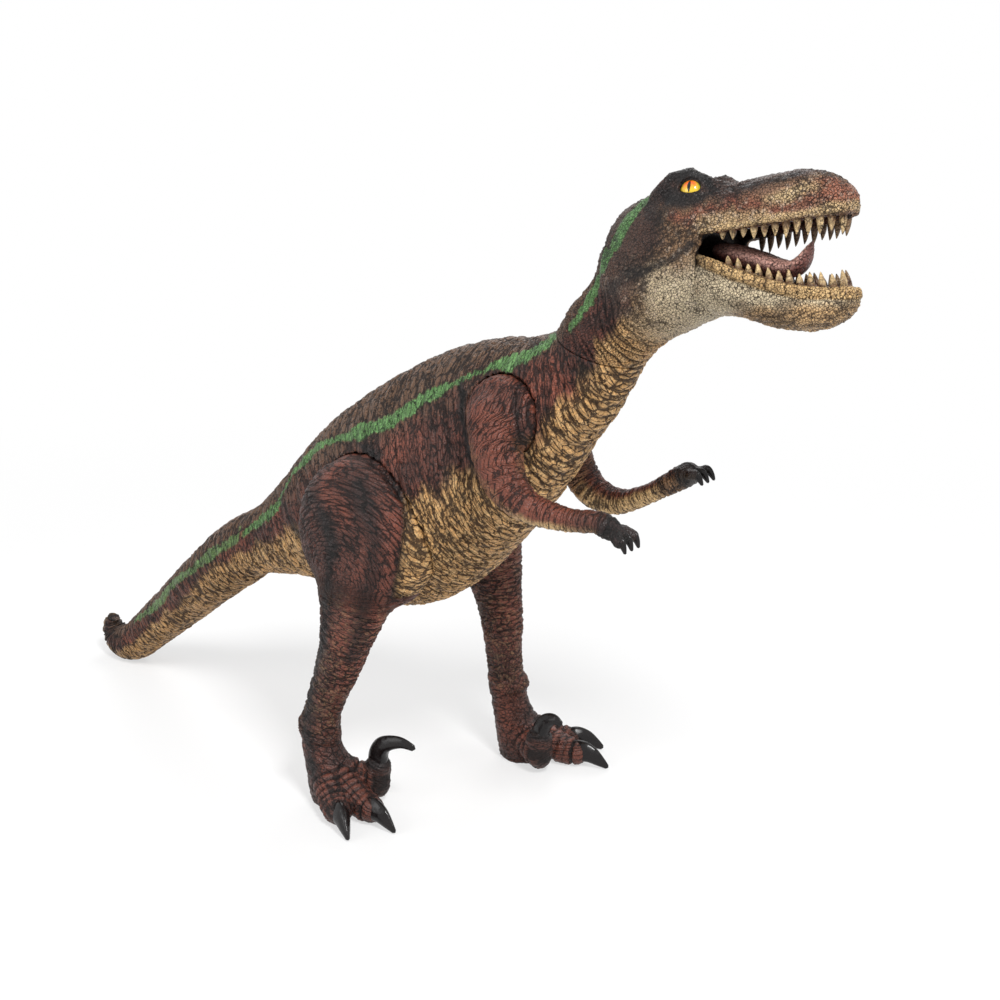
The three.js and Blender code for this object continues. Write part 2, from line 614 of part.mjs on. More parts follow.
// The inner toe is held beside the others, and its claw stands in a collar, up and curling forward
const RAISED = { ahead: 24, inward: 25 };
const SICKLE_TOP = { right: 46, left: 41 };
const sickleToeRows = (side) => [
  [...footPoint(side, RAISED.ahead / 3, -RAISED.inward / 4, 24, 0), 9],
  [...footPoint(side, RAISED.ahead * 0.7, -RAISED.inward * 0.68, 16, 0), 9.5],
  [...footPoint(side, RAISED.ahead, -RAISED.inward, 15, 0), 9.5],
];
const sickleCollarRows = (side) => [
  [...footPoint(side, RAISED.ahead, -RAISED.inward, 12, 0), 9],
  [...footPoint(side, RAISED.ahead, -RAISED.inward - 1, 23, 0), 8.8],
];
const sickleClawRows = (side) => [
  [...footPoint(side, RAISED.ahead, -RAISED.inward - 1, 18, 0), 5],
  [...footPoint(side, RAISED.ahead, -RAISED.inward - 1, SICKLE_TOP[side] - 17, 0), 6.3],
  [...footPoint(side, RAISED.ahead + 8, -RAISED.inward - 3, SICKLE_TOP[side] - 3, 0), 5.4],
  [...footPoint(side, RAISED.ahead + 18, -RAISED.inward - 8, SICKLE_TOP[side], 0), 3.8],
  [...footPoint(side, RAISED.ahead + 27, -RAISED.inward - 13, SICKLE_TOP[side] - 2, 0), 2],
];
const CLAW = { sides: 8, steps: 1, domes: [0, 0.8] };

function makeLeg(side) {
  const { point, axis, bore } = hips[side];
  const rows = through(legRows.map((row) => strideRow(row, side)), 2);
  const shin = solid(trunkLine(rows, 14));
  const trim = beyond(shifted(point, axis, GAP / 2), axis.clone().negate());
  const upper = joined([shin, dome(point, axis, HAUNCH_R, HAUNCH_THICK)]).subtract(trim);
  const toes = Object.values(groundToes).map((heading) => solid(taper(toeRows(side, heading), { sides: 10 })));
  const raised = [sickleToeRows(side), sickleCollarRows(side)].map((path) => solid(taper(path, { sides: 10 })));
  const shinHollow = solid(trunkLine(rows.filter((row) => row[2] > ANKLE_Z + 2 * WALL), 8, WALL));
  const room = domeHollow(point, axis, HAUNCH_R, HAUNCH_THICK);
  const inside = joined([shinHollow, room]).subtract(beyond(shifted(point, axis, GAP / 2 + WALL), axis.clone().negate()));
  const sockets = Object.values(groundToes).map((heading) => solid(taper(toeClawRows(side, heading), { ...CLAW, grow: GAP })));
  sockets.push(solid(taper(sickleClawRows(side), { ...CLAW, grow: GAP })));
  return without(joined([upper, ...toes, ...raised]), [inside, bore, ...sockets, GROUND]);
}

// Arm rows from the shoulder to the palm: x, y outwards, z, radius
const armRows = {
  right: [
    [SHOULDER_X, 37, SHOULDER_Z + 4, 16],
    [81, 43, 247, 14.5],
    [89.5, 46, 231, 12.3],
    [103, 46.5, 221, 9.4],
    [119, 44, 217.5, 7.6],
    [134, 43, 217, 6.4],
    [148, 42, 219, 6.2],
    [157, 41, 217, 7],
  ],
  left: [
    [SHOULDER_X, 37, SHOULDER_Z - 6, 15],
    [70, 42, 236, 12],
    [74, 46, 215, 11],
    [87, 46, 202.5, 9.8],
    [104, 45, 200.5, 7.8],
    [122, 41, 207.5, 6],
    [136, 40, 215.5, 5.8],
    [149, 39, 224, 6.8],
    [157, 38, 229, 7],
  ],
};
const FINGERS = ['inner', 'middle', 'outer'];
const FINGER_SPREAD = 6.5;
// From the palm to a fingertip: forward, up and claw's end, for each hand
const reach = { right: { forward: 10, up: -4, claw: [4, -6] }, left: { forward: 7, up: 2, claw: [6, -5] } };

function fingerRows(side, i) {
  const [x, y, z] = armRows[side].at(-1);
  const { forward, up } = reach[side];
  const out = (i - 1) * FINGER_SPREAD;
  return [
    [x, y, z, 3.6],
    [x + forward * 0.6, y + out * 0.7, z + up * 0.4, 3.5],
    [x + forward, y + out, z + up, 3.2],
  ];
}

function fingerClawRows(side, i) {
  const [x, y, z] = fingerRows(side, i)[2];
  const [ahead, up] = reach[side].claw;
  return [
    [x, y, z, 2.4],
    [x + ahead * 0.6, y, z + up * 0.35, 2.1],
    [x + ahead, y, z + up, 0.8],
  ];
}
const FINGER_CLAW = { sides: 6, steps: 1, domes: [0, 0.8] };
const onSide = (rows, side) => rows.map(([x, y, z, r]) => [x, SIDES[side] * y, z, r]);

function makeArm(side) {
  const { point, axis, bore } = shoulders[side];
  const limb = solid(taper(onSide(armRows[side], side), { sides: 10 }));
  const trim = beyond(shifted(point, axis, GAP / 2), axis.clone().negate());
  const disc = pocket(point, axis, SHOULDER_R * Math.cos(Math.PI / TURN_SIDES), 0);
  const under = beyond(shifted(point, axis, ARM_FLOOR), axis.clone().negate()).subtract(disc);
  const fingers = FINGERS.map((_, i) => solid(taper(onSide(fingerRows(side, i), side), { sides: 8, steps: 1 })));
  const form = joined([limb.subtract(under), dome(point, axis, SHOULDER_R, SHOULDER_THICK), ...fingers]).subtract(trim);
  const sockets = FINGERS.map((_, i) => solid(taper(onSide(fingerClawRows(side, i), side), { ...FINGER_CLAW, grow: GAP })));
  return without(form, [domeHollow(point, axis, SHOULDER_R, SHOULDER_THICK), bore, ...sockets]);
}

// Each moving body is a group that stands at its joint
function body(name, at, pieces) {
  const group = new THREE.Group();
  group.name = name;
  group.position.copy(at);
  for (const mesh of pieces) {
    mesh.position.sub(at);
    group.add(mesh);
  }
  return group;
}

const figure = new THREE.Group();
figure.add(body('torso', vec(0, 0, 0), [piece('torso_shell', makeTorso(), 'skin')]));
figure.add(body('tail', tailSwivel.point, [piece('tail_shell', makeTail(), 'skin'), ...tailSwivel.pieces]));
figure.add(body('head', neckSwivel.point, [
  piece('head_shell', makeHead(), 'skin'),
  piece('lower_jaw', makeJaw(), 'jaw'),
  piece('tongue', makeTongue(), 'tongue'),
  piece('upper_teeth', toothRow(UPPER), 'tooth'),
  piece('lower_teeth', toothRow(LOWER), 'tooth'),
  piece('right_eye', onHead(eyeBall(-1)), 'eye'),
  piece('left_eye', onHead(eyeBall(1)), 'eye'),
  ...neckSwivel.pieces,
]));
for (const side of Object.keys(SIDES)) {
  const toeClaws = Object.entries(groundToes).map(([toe, heading]) => (
    piece(`${side}_${toe}_toe_claw`, solid(taper(toeClawRows(side, heading), CLAW)).subtract(GROUND), 'claw')));
  figure.add(body(`${side}_leg`, hips[side].point, [
    piece(`${side}_leg_shell`, makeLeg(side), 'skin'),
    ...toeClaws,
    piece(`${side}_sickle_claw`, solid(taper(sickleClawRows(side), CLAW)), 'claw'),
    ...hips[side].pieces,
  ]));
  const claws = FINGERS.map((finger, i) => (
    piece(`${side}_${finger}_finger_claw`, solid(taper(onSide(fingerClawRows(side, i), side), FINGER_CLAW)), 'claw')));
  figure.add(body(`${side}_arm`, shoulders[side].point, [
    piece(`${side}_arm_shell`, makeArm(side), 'skin'), ...claws, ...shoulders[side].pieces,
  ]));
}

// The origin is on the ground under the middle of the figure's box
const box = new THREE.Box3().setFromObject(figure);
figure.position.set(-(box.min.x + box.max.x) / 2, -(box.min.y + box.max.y) / 2, -box.min.z);

const dinosaur = new THREE.Group();
dinosaur.add(figure);
export default dinosaur;
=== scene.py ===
# %% [markdown]
# # A toy dinosaur in painted soft vinyl
# The real figure is cast hollow in soft vinyl as seven skins that plug into each other: trunk, head,
# tail, two legs and two arms. The jaw, tongue, rows of teeth, eyes and claws are separate mouldings.
# The solid part already has the right sizes and joints, and this script dresses it: each skin is
# drawn again as a fine mesh with its wrinkles and scales, and painted. One way to get such a skin is
# to sculpt it by hand. Here every skin is a formula instead, so that each step can be read.

# %% Load the solid part
import json

import bpy
import numpy as np
from mathutils import Euler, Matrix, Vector

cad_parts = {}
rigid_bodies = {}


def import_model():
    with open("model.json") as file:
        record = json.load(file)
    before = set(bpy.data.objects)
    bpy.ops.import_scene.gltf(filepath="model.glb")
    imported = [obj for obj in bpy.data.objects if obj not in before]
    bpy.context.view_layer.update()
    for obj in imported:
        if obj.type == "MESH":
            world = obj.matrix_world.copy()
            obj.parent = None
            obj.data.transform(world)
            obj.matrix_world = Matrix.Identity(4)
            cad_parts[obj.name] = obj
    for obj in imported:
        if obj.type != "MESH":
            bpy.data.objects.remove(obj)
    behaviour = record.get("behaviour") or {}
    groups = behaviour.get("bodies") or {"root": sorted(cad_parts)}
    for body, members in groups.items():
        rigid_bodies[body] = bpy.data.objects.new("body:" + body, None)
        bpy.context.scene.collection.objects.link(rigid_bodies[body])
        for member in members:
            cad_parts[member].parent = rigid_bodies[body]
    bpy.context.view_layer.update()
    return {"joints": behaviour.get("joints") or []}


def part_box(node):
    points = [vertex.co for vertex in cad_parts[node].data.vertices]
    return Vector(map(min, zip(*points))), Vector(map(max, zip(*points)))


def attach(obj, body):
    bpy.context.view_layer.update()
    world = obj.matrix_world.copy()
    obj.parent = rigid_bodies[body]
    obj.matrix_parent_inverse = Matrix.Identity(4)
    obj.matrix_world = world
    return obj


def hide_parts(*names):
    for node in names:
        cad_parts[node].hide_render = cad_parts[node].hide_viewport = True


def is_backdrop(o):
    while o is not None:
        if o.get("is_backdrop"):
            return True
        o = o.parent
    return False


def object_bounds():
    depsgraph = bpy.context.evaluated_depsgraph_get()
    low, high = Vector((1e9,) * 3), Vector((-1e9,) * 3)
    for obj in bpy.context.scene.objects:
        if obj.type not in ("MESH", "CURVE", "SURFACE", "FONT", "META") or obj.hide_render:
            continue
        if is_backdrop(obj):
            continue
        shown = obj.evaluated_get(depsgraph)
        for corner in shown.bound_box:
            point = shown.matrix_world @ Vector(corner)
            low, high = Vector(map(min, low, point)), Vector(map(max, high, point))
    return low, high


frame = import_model()
MM = 0.001
NECK = np.array([121.0, 0, 305])
joint_at = {j["name"]: np.array(j["pos_m"]) / MM for j in frame["joints"]}
SHIFT = joint_at["neck_swivel"] - NECK
print("from the figure's own frame to the part's frame, mm:", SHIFT.round(2))

# %% [markdown]
# ## Random numbers that stay in place
# Paint and skin need irregularity that is the same at every run. Blender has noise textures, but a
# mesh that is worked out with numpy needs the noise as numbers, so these two helpers give it: soft
# clouds, and cells like cracked mud, which make both scales and creases when they are stretched.

# %% Clouds and cells
SPECKS = np.random.default_rng(11).random((8192, 4))


def at_cell(cell):
    """Four random numbers for a cube of space, picked from a table by mixing its whole coordinates."""
    mixed = cell[..., 0] * 73856093 ^ cell[..., 1] * 19349663 ^ cell[..., 2] * 83492791
    return SPECKS[mixed & 8191]


def clouds(p, size, layers=3):
    """Soft noise from about -1 to 1: cubes of the given size have random values at their corners, mixed
    smoothly inside, and each further layer is half the size and half as strong."""
    total = np.zeros(p.shape[:-1])
    for layer in range(layers):
        q = p / size * 2**layer + 31.7 * layer
        cell = np.floor(q).astype(int)
        t = q - cell
        t = t * t * (3 - 2 * t)
        for corner in np.ndindex(2, 2, 2):
            weight = np.where(np.array(corner) == 1, t, 1 - t).prod(-1)
            total += weight * (2 * at_cell(cell + corner)[..., 0] - 1) / 2**layer
    return total


def scales(p, size):
    """Cells round random seeds, one seed in each block of the given size. Gives the distance to the
    border with the next cell, from the two seeds' distances and how far apart they are, and the
    cell's own random tone."""
    size = np.broadcast_to(np.asarray(size, float), 3)
    q = p / size
    cell = np.floor(q).astype(int)
    nearest = np.full(q.shape[:-1], 9.0)
    second = nearest.copy()
    tone = np.zeros_like(nearest)
    first_seed = np.zeros_like(q)
    second_seed = np.ones_like(q)
    for step in np.ndindex(3, 3, 3):
        drawn = at_cell(cell + step - 1)
        seed = cell + step - 1 + drawn[..., :3]
        away = np.linalg.norm(seed - q, axis=-1)
        closer = away < nearest
        between = ~closer & (away < second)
        second_seed = np.where(closer[..., None], first_seed, np.where(between[..., None], seed, second_seed))
        first_seed = np.where(closer[..., None], seed, first_seed)
        second = np.where(closer, nearest, np.where(between, away, second))
        nearest = np.where(closer, away, nearest)
        tone = np.where(closer, drawn[..., 3], tone)
    apart = np.linalg.norm((first_seed - second_seed) / size, axis=-1)
    return (second**2 - nearest**2) / 2 / apart, tone


def ramp(value, low, high):
    """Rises smoothly from 0 at low to 1 at high."""
    t = np.clip((value - low) / (high - low), 0, 1)
    return t * t * (3 - 2 * t)


print("random table:", SPECKS.shape)

# %% [markdown]
# ## Forms as distances
# A form can be described by one formula: how far a point is from its surface, less than nothing
# inside. Two forms are joined by taking the smaller distance, and one is cut by another by taking the
# larger, and rounding that choice gives the soft fillets of a casting. Modelling the same with
# boolean cuts on meshes leaves sharp edges and thin slivers that a carved skin can't use.

# %% Joining and cutting
def join(a, b, soft):
    """The smaller of two distances, with the corner filled over the width soft."""
    t = np.clip(0.5 + 0.5 * (b - a) / soft, 0, 1)
    return b + (a - b) * t - soft * t * (1 - t)


def cut(a, b, soft):
    """The first form without the second: the larger of a and minus b, with a rounded edge."""
    return -join(-a, b, soft)


def through(rows, steps=6):
    """Rows put smoothly between rows: each column follows a cubic whose slope at a row is half the
    difference between the rows on either side."""
    rows = np.asarray(rows, float)
    padded = np.vstack([rows[:1], rows, rows[-1:]])
    a, b, c, d = (padded[i : len(rows) - 1 + i, None] for i in range(4))
    t = (np.arange(steps) / steps)[:, None]
    fine = b + 0.5 * t * (c - a + t * (2 * a - 5 * b + 4 * c - d + t * (3 * (b - c) + d - a)))
    return np.vstack([fine.reshape(-1, rows.shape[1]), rows[-1:]])


def tube(x, y, z, rows):
    """Distance to a round form along points with radii: for each straight length, the distance to its
    nearest point less the radius there, and of all lengths the least."""
    best = 1e9
    for a, b in zip(rows[:-1], rows[1:]):
        run = b[:3] - a[:3]
        t = ((x - a[0]) * run[0] + (y - a[1]) * run[1] + (z - a[2]) * run[2]) / (run @ run + 1e-9)
        t = np.clip(t, 0, 1)
        square = (x - a[0] - t * run[0]) ** 2 + (y - a[1] - t * run[1]) ** 2 + (z - a[2] - t * run[2]) ** 2
        best = np.minimum(best, np.sqrt(square) - a[3] - t * (b[3] - a[3]))
    return best


def along_tube(p, rows):
    """For each point the distance to a path with radii and the length along it, in mm."""
    best = np.full(len(p), 1e9)
    along = np.zeros(len(p))
    passed = 0.0
    for a, b in zip(rows[:-1], rows[1:]):
        run = b[:3] - a[:3]
        long = np.linalg.norm(run) + 1e-9
        t = np.clip((p - a[:3]) @ run / long**2, 0, 1)
        away = np.linalg.norm(p - a[:3] - t[:, None] * run, axis=-1) - a[3] - t * (b[3] - a[3])
        along = np.where(away < best, passed + t * long, along)
        best = np.minimum(best, away)
        passed += long
    return best, along


print("two walls that meet, the corner filled over 4 mm:", join(0.0, 0.0, 4.0), "mm")

# %% [markdown]
# ## From a form to a mesh
# A surface net turns such a formula into quads: space is divided into small cubes, every cube that
# the surface passes gets one point, and every cube edge that the surface crosses gets one quad. It is
# what Blender's voxel remesh does, with one more step: the points are then slid exactly onto the
# form, so that no stair steps are left for the gloss to show.

# %% Grid of distances
CORNERS = np.array(list(np.ndindex(2, 2, 2)))
EDGES = [(a, b) for a, b in np.ndindex(8, 8) if a < b and np.abs(CORNERS[a] - CORNERS[b]).sum() == 1]
BLOCK = 4
NEAR = 1.7


def grid_values(form, axes, step):
    """The form's distance on a grid. It is first worked out at the middle of every block of 4 x 4 x 4
    places, and only blocks nearer to the surface than NEAR blocks get the distance at each of their
    places. The other blocks keep the value of their middle, of which only the sign matters."""
    middles = [a[BLOCK // 2 :: BLOCK] - step / 2 for a in axes]
    x, y, z = middles
    rough = form(x[:, None, None], y[None, :, None], z[None, None, :])
    value = rough.repeat(BLOCK, 0).repeat(BLOCK, 1).repeat(BLOCK, 2)
    near = np.argwhere(np.abs(rough) < NEAR * BLOCK * step)
    places = near[:, None] * BLOCK + np.array(list(np.ndindex(BLOCK, BLOCK, BLOCK)))
    i, j, k = places.reshape(-1, 3).T
    value[i, j, k] = form(axes[0][i], axes[1][j], axes[2][k])
    return value


print("corners and edges of a cube:", len(CORNERS), len(EDGES))


# %% Surface net
def net(form, low, high, step):
    """One point in each cube that the surface passes, the mean of the places where the form's distance
    changes sign on the cube's edges, and a quad across each such edge, facing out."""
    axes = [a + step * np.arange(BLOCK * int(np.ceil((b - a) / step / BLOCK) + 1)) for a, b in zip(low, high)]
    value = grid_values(form, axes, step)
    inside = value < 0
    size = np.array(value.shape) - 1
    held = sum(
        inside[i : size[0] + i, j : size[1] + j, k : size[2] + k].astype(np.int8) for i, j, k in CORNERS
    )
    passed = (held > 0) & (held < 8)
    cells = np.argwhere(passed)
    at = [value[tuple((cells + corner).T)] for corner in CORNERS]
    total = np.zeros((len(cells), 3))
    number = np.zeros(len(cells))
    for a, b in EDGES:
        crosses = (at[a] < 0) != (at[b] < 0)
        share = at[a] / np.where(crosses, at[a] - at[b], 1)
        total += crosses[:, None] * (CORNERS[a] + share[:, None] * (CORNERS[b] - CORNERS[a]))
        number += crosses
    points = np.array(low) + step * (cells + total / number[:, None])
    index = np.full(passed.shape, -1)
    index[passed] = np.arange(len(cells))
    quads = []
    for axis in range(3):
        ahead = np.eye(3, dtype=int)[axis]
        one, other = np.delete(np.eye(3, dtype=int), axis, 0)
        here = inside[tuple(slice(0, n) for n in inside.shape - ahead)]
        there = inside[tuple(slice(a, None) for a in ahead)]
        edge = np.argwhere(here != there)
        around = [index[tuple((edge - shift).T)] for shift in (0 * one, one, one + other, other)]
        quad = np.stack(around, 1)
        facing_back = there[tuple(edge.T)] != (axis == 1)
        quad[facing_back] = quad[facing_back, ::-1]
        quads.append(quad)
    return points, np.vstack(quads)


ball = net(lambda x, y, z: np.sqrt(x**2 + y**2 + z**2) - 5, [-8, -8, -8], [8, 8, 8], 1.0)
print("a ball of 10 mm on a grid of 1 mm:", len(ball[0]), "points")


# %% Skin of a solid
def slope(form, p, reach=0.3):
    """How fast the distance grows along each axis, from its values a little way to either side."""
    return np.stack([form(*(p + e).T) - form(*(p - e).T) for e in np.eye(3) * reach], -1) / (2 * reach)


MARGIN = 4.0
SLIDES = 2


def skin(form, node, step):
    """The net of a form in the room round its solid node, the points slid along the slope onto the
    surface, and the outward directions."""
    low, high = (np.array(corner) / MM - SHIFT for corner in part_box(node))
    points, quads = net(form, low - MARGIN, high + MARGIN, step)
    for _ in range(SLIDES):
        steep = slope(form, points)
        move = form(*points.T)[:, None] * steep / (steep**2).sum(-1, keepdims=True).clip(0.1)
        points = points - np.clip(move, -step / 2, step / 2)
    out = slope(form, points)
    return points, quads, out / np.linalg.norm(out, axis=-1, keepdims=True).clip(1e-6)


print("room left round a solid, mm:", MARGIN)

# %% [markdown]
# ## The line of the body
# Tail, trunk and neck are one long casting form, an ellipse carried along a curved line and cut at
# the two joints. Each row below is one ellipse: its middle, its half height and half width, how far it
# leans, how far it rolls, and how much narrower its top is. The rows are those of the solid part.

# %% Rows of the body
TAIL_ROW = 9
NECK_ROW = 19
BODY_ROWS = [
    [-339, 9, 29, 4.5, 4.5, -22, 0, 0],
    [-341, 9, 23.5, 7.2, 7.2, 12, 0, 0],
    [-336, 9, 16, 10.5, 10.5, 49, 0, 0],
    [-325, 9, 12.2, 13.2, 13, 95, 0, 0],
    [-309, 8, 18.5, 14.6, 14.3, 119, 0, 0],
    [-290, 8, 33.5, 15.8, 15.3, 127, 0, 0],
    [-258, 6, 58.5, 18, 17.4, 128, 0, 0],
    [-211, 3, 96.5, 21.2, 20.4, 127, 0, 0],
    [-180, 1, 119, 22.8, 22.2, 116, 0, 0],
    [-157, 0, 133, 23.5, 23.5, 97, 0, 0],
    [-137, 0, 142, 27, 26.5, 106, 0, 0],
    [-112, 0, 153, 35, 34, 114, 0, 0.05],
    [-77, 0, 167, 51, 41, 121, 0, 0.1],
    [-42, 0, 180, 66, 46, 118, 0, 0.12],
    [0, 0, 205.5, 68.5, 47, 114, -2, 0.12],
    [37, 0, 232.5, 61.5, 44, 114, -5, 0.12],
    [69.5, 0, 257, 48.5, 39, 118, -9, 0.1],
    [90.5, 0, 274, 36.5, 34, 127, -9, 0.06],
    [108, 0, 289, 30, 29, 143, -9, 0],
    [*NECK, 26.5, 26.5, 162, 0, 0],
    [133.5, 0, 320.5, 29.8, 27, 166, -5, 0],
    [152, 0, 337, 33.5, 27.5, 166, -11, 0],
    [159, 0, 351, 34, 26, 165, -11, 0],
    [164, 0, 361, 24, 17, 165, -11, 0],
]
STEPS = 4
X, Y, Z, HIGH, WIDE, LEAN, ROLL, TAPER, ALONG = range(9)
body_line = through(BODY_ROWS, STEPS)
lengths = np.linalg.norm(np.diff(body_line[:, :3], axis=0), axis=1)
body_line = np.column_stack([body_line, np.concatenate([[0], np.cumsum(lengths)])])
tail_line = body_line[: TAIL_ROW * STEPS + 1]
front_line = body_line[TAIL_ROW * STEPS :]
print("length along the body, mm:", round(body_line[-1, ALONG]))


def section_plane(row, x, z):
    """How far a point is ahead of the plane of one cross-section."""
    lean = np.radians(row[LEAN])
    return (x - row[X]) * np.sin(lean) - (z - row[Z]) * np.cos(lean)


def section_at(line, x, z):
    """The cross-section that a point lies in: the planes that it is ahead of are counted, and between
    that one and the next the two distances give the share."""
    ahead = np.stack([section_plane(row, x, z) for row in line])
    k = np.clip((ahead > 0).sum(0) - 1, 0, len(line) - 2)
    near = np.take_along_axis(ahead, k[None], 0)[0]
    far = np.take_along_axis(ahead, k[None] + 1, 0)[0]
    share = np.clip(near / np.where(near == far, 1, near - far), 0, 1)[..., None]
    return np.moveaxis(line[k] * (1 - share) + line[k + 1] * share, -1, 0)


def on_body(line, x, y, z):
    """A point in the body's own measures: its cross-section, and inside it the offset to the side and
    the offset up, turned back by the section's roll."""
    row = section_at(line, x, z)
    lean = np.radians(row[LEAN])
    roll = np.radians(row[ROLL])
    up = (x - row[X]) * np.cos(lean) + (z - row[Z]) * np.sin(lean)
    side = y - row[Y]
    return row, side * np.cos(roll) + up * np.sin(roll), up * np.cos(roll) - side * np.sin(roll)


def body_form(line, x, y, z):
    """Distance to the ellipse of the section, measured along the ray from its middle."""
    row, side, up = on_body(line, x, y, z)
    wide = row[WIDE] * (1 - row[TAPER] * np.clip(up / row[HIGH], -1, 1))
    share = np.hypot(side / wide, up / row[HIGH])
    reach = np.hypot(side, up)
    return reach - reach / np.maximum(share, 1e-6)


# %% [markdown]
# ## The camera and its lines of sight
# The photograph was fitted by one camera, 49 cm above the ground and turned 38 degrees. It is made
# first, because the painted marks are placed with it: a mark is a short list of pixels, and the line
# of sight through each pixel is followed until it touches the skin.

# %% Camera
CAMERA_AT = (0.64829, -0.72312, 0.490)
CAMERA_TURN = Euler(np.radians([72.5, 0, 38]))
PICTURE = 1000
LENS = 57.6
SENSOR = 36.0
camera = bpy.data.objects.new("camera", bpy.data.cameras.new("camera"))
bpy.context.scene.collection.objects.link(camera)
camera.location = CAMERA_AT
camera.rotation_euler = CAMERA_TURN
camera.data.lens = LENS
camera.data.sensor_width = SENSOR
bpy.context.scene.camera = camera
print("camera, m:", CAMERA_AT)

# %% Lines of sight
SIGHT_START = 700.0
SIGHT_STEPS = 90
SIGHT_SHARE = 0.7


def touched(pixels, form):
    """Follows each pixel's line of sight, always by a share of the distance to the form, and gives the
    points where the lines arrive."""
    flat = (np.asarray(pixels, float)[:, :2] - PICTURE / 2) * SENSOR / LENS / PICTURE
    turn = np.array(CAMERA_TURN.to_matrix())
    way = np.column_stack([flat[:, 0], -flat[:, 1], -np.ones(len(flat))]) @ turn.T
    way /= np.linalg.norm(way, axis=-1, keepdims=True)
    eye = np.array(CAMERA_AT) / MM - SHIFT
    along = np.full(len(way), SIGHT_START)
    for _ in range(SIGHT_STEPS):
        along += SIGHT_SHARE * np.clip(form(*(eye + along[:, None] * way).T), -5, 20)
    return eye + along[:, None] * way


def mark(q, path, edge=2.0, ragged=0.0, size=7.0):
    """A painted mark: 1 inside a tapering band along a path in the skin's own measures, fading over
    the width edge, with its outline shifted in and out by clouds."""
    away = tube(*q.T, np.asarray(path, float))
    if ragged:
        away = away + ragged * clouds(q, size)
    return ramp(-away, -edge / 2, edge / 2)


print("a line of sight starts this far from the camera, mm:", SIGHT_START)

# %% [markdown]
# ## Paint
# The figure is painted over its moulding colour with an airbrush, then a thin dark wash is wiped over
# it, which stays in the creases. So each skin carries two layers as attributes of its mesh: paint, its
# colour, and wash, the depth of its creases. Where the wash is deep the paint keeps a tenth of its
# light. One material reads both, and adds what is too fine for the mesh: a grain, small scales as
# bump, and more gloss on what stands out.

# %% Paints
def tint(red, green, blue):
    """A colour as it looks on a screen, 0 to 255, turned into amounts of light."""
    c = np.array([red, green, blue]) / 255
    return np.where(c <= 0.04045, c / 12.92, ((c + 0.055) / 1.055) ** 2.4)


BACK_BROWN = tint(98, 74, 56)
MAROON = tint(70, 39, 31)
RUST = tint(127, 70, 54)
OCHRE = tint(195, 151, 97)
SAND = tint(198, 172, 128)
JAW_GREY = tint(192, 176, 146)
# Near-black: the figure's own black paint, and also the colour of the painted shade along creases and joints.
SOOT_AND_SHADE = tint(16, 11, 12)
GREEN = tint(80, 124, 68)
GREEN_PALE = tint(112, 154, 94)


def coat(colour, points):
    """One coat of a colour over all points."""
    return np.tile(colour, (len(points), 1))


def over(paint, colour, amount):
    """Sprays one colour over the paint: where the amount is 1 it covers it."""
    return paint + (np.asarray(colour) - paint) * np.asarray(amount)[..., None]


def blend(first, second, share):
    """The first where the share is 0, the second where it is 1, and their mix between."""
    return first + (second - first) * share


print("soot as amounts of light:", SOOT_AND_SHADE.round(4))

# %% Nodes
def new_material(name):
    """A material with its tree of nodes and its shader."""
    material = bpy.data.materials.new(name)
    material.use_nodes = True
    tree = material.node_tree
    return material, tree, tree.nodes["Principled BSDF"]


def node(tree, kind, inputs=(), **settings):
    """A node with its settings, and its inputs given as values or as sockets to link."""
    made = tree.nodes.new(kind)
    for key, value in settings.items():
        setattr(made, key, value)
    for key, value in dict(inputs).items():
        if isinstance(value, bpy.types.NodeSocket):
            tree.links.new(value, made.inputs[key])
        else:
            made.inputs[key].default_value = value
    return made


def reckoned(tree, operation, *values):
    """The result of one sum or product of single values."""
    return node(tree, "ShaderNodeMath", enumerate(values), operation=operation).outputs[0]


def reckoned_3d(tree, operation, *values):
    """The same for vectors and colours, each axis or channel on its own."""
    return node(tree, "ShaderNodeVectorMath", enumerate(values), operation=operation).outputs[0]


def graded(tree, value, low=0.0, high=1.0, to_low=0.0, to_high=1.0, way="LINEAR"):
    """A value carried from the range low to high onto another range, and held at its ends."""
    ends = {"Value": value, "From Min": low, "From Max": high, "To Min": to_low, "To Max": to_high}
    return node(tree, "ShaderNodeMapRange", ends, interpolation_type=way).outputs["Result"]


def mixed_colour(tree, share, first, second, **settings):
    """Two colours mixed by a share, from all of the first to all of the second."""
    inputs = {"Factor": share, 6: first, 7: second}
    return node(tree, "ShaderNodeMix", inputs, data_type="RGBA", **settings).outputs[2]


def opaque(colour):
    """A colour with its fourth channel, as sockets want it."""
    return (*colour, 1)


def grain_noise(tree, size, detail):
    """The place on the object, and noise whose grains are of the given size in mm."""
    place = node(tree, "ShaderNodeTexCoord").outputs["Object"]
    inputs = {"Vector": place, "Scale": 1 / (size * MM), "Detail": detail}
    return place, node(tree, "ShaderNodeTexNoise", inputs)


def cells_of(tree, place, scale, **settings):
    """Distance to the nearest cell's seed or, if asked for, to the border with the next cell."""
    cells = node(tree, "ShaderNodeTexVoronoi", {"Vector": place, "Scale": scale}, **settings)
    return cells.outputs["Distance"]


def bumped(tree, shader, height, strength, depth):
    """Tilts the shading as a relief of the given depth in mm would."""
    bump = node(tree, "ShaderNodeBump", {"Height": height, "Strength": strength, "Distance": depth * MM})
    tree.links.new(bump.outputs[0], shader.inputs["Normal"])


print("noise with grains of 1 mm has the scale", 1 / MM)

# %% The painted vinyl
BEAD = 1.1
WARP = (0.35, 0.35, 0.35)
HAIRLINE = 0.13
HAIRLINE_WASH = 0.62
SUNK_PAINT = (0.1, 0.085, 0.08)


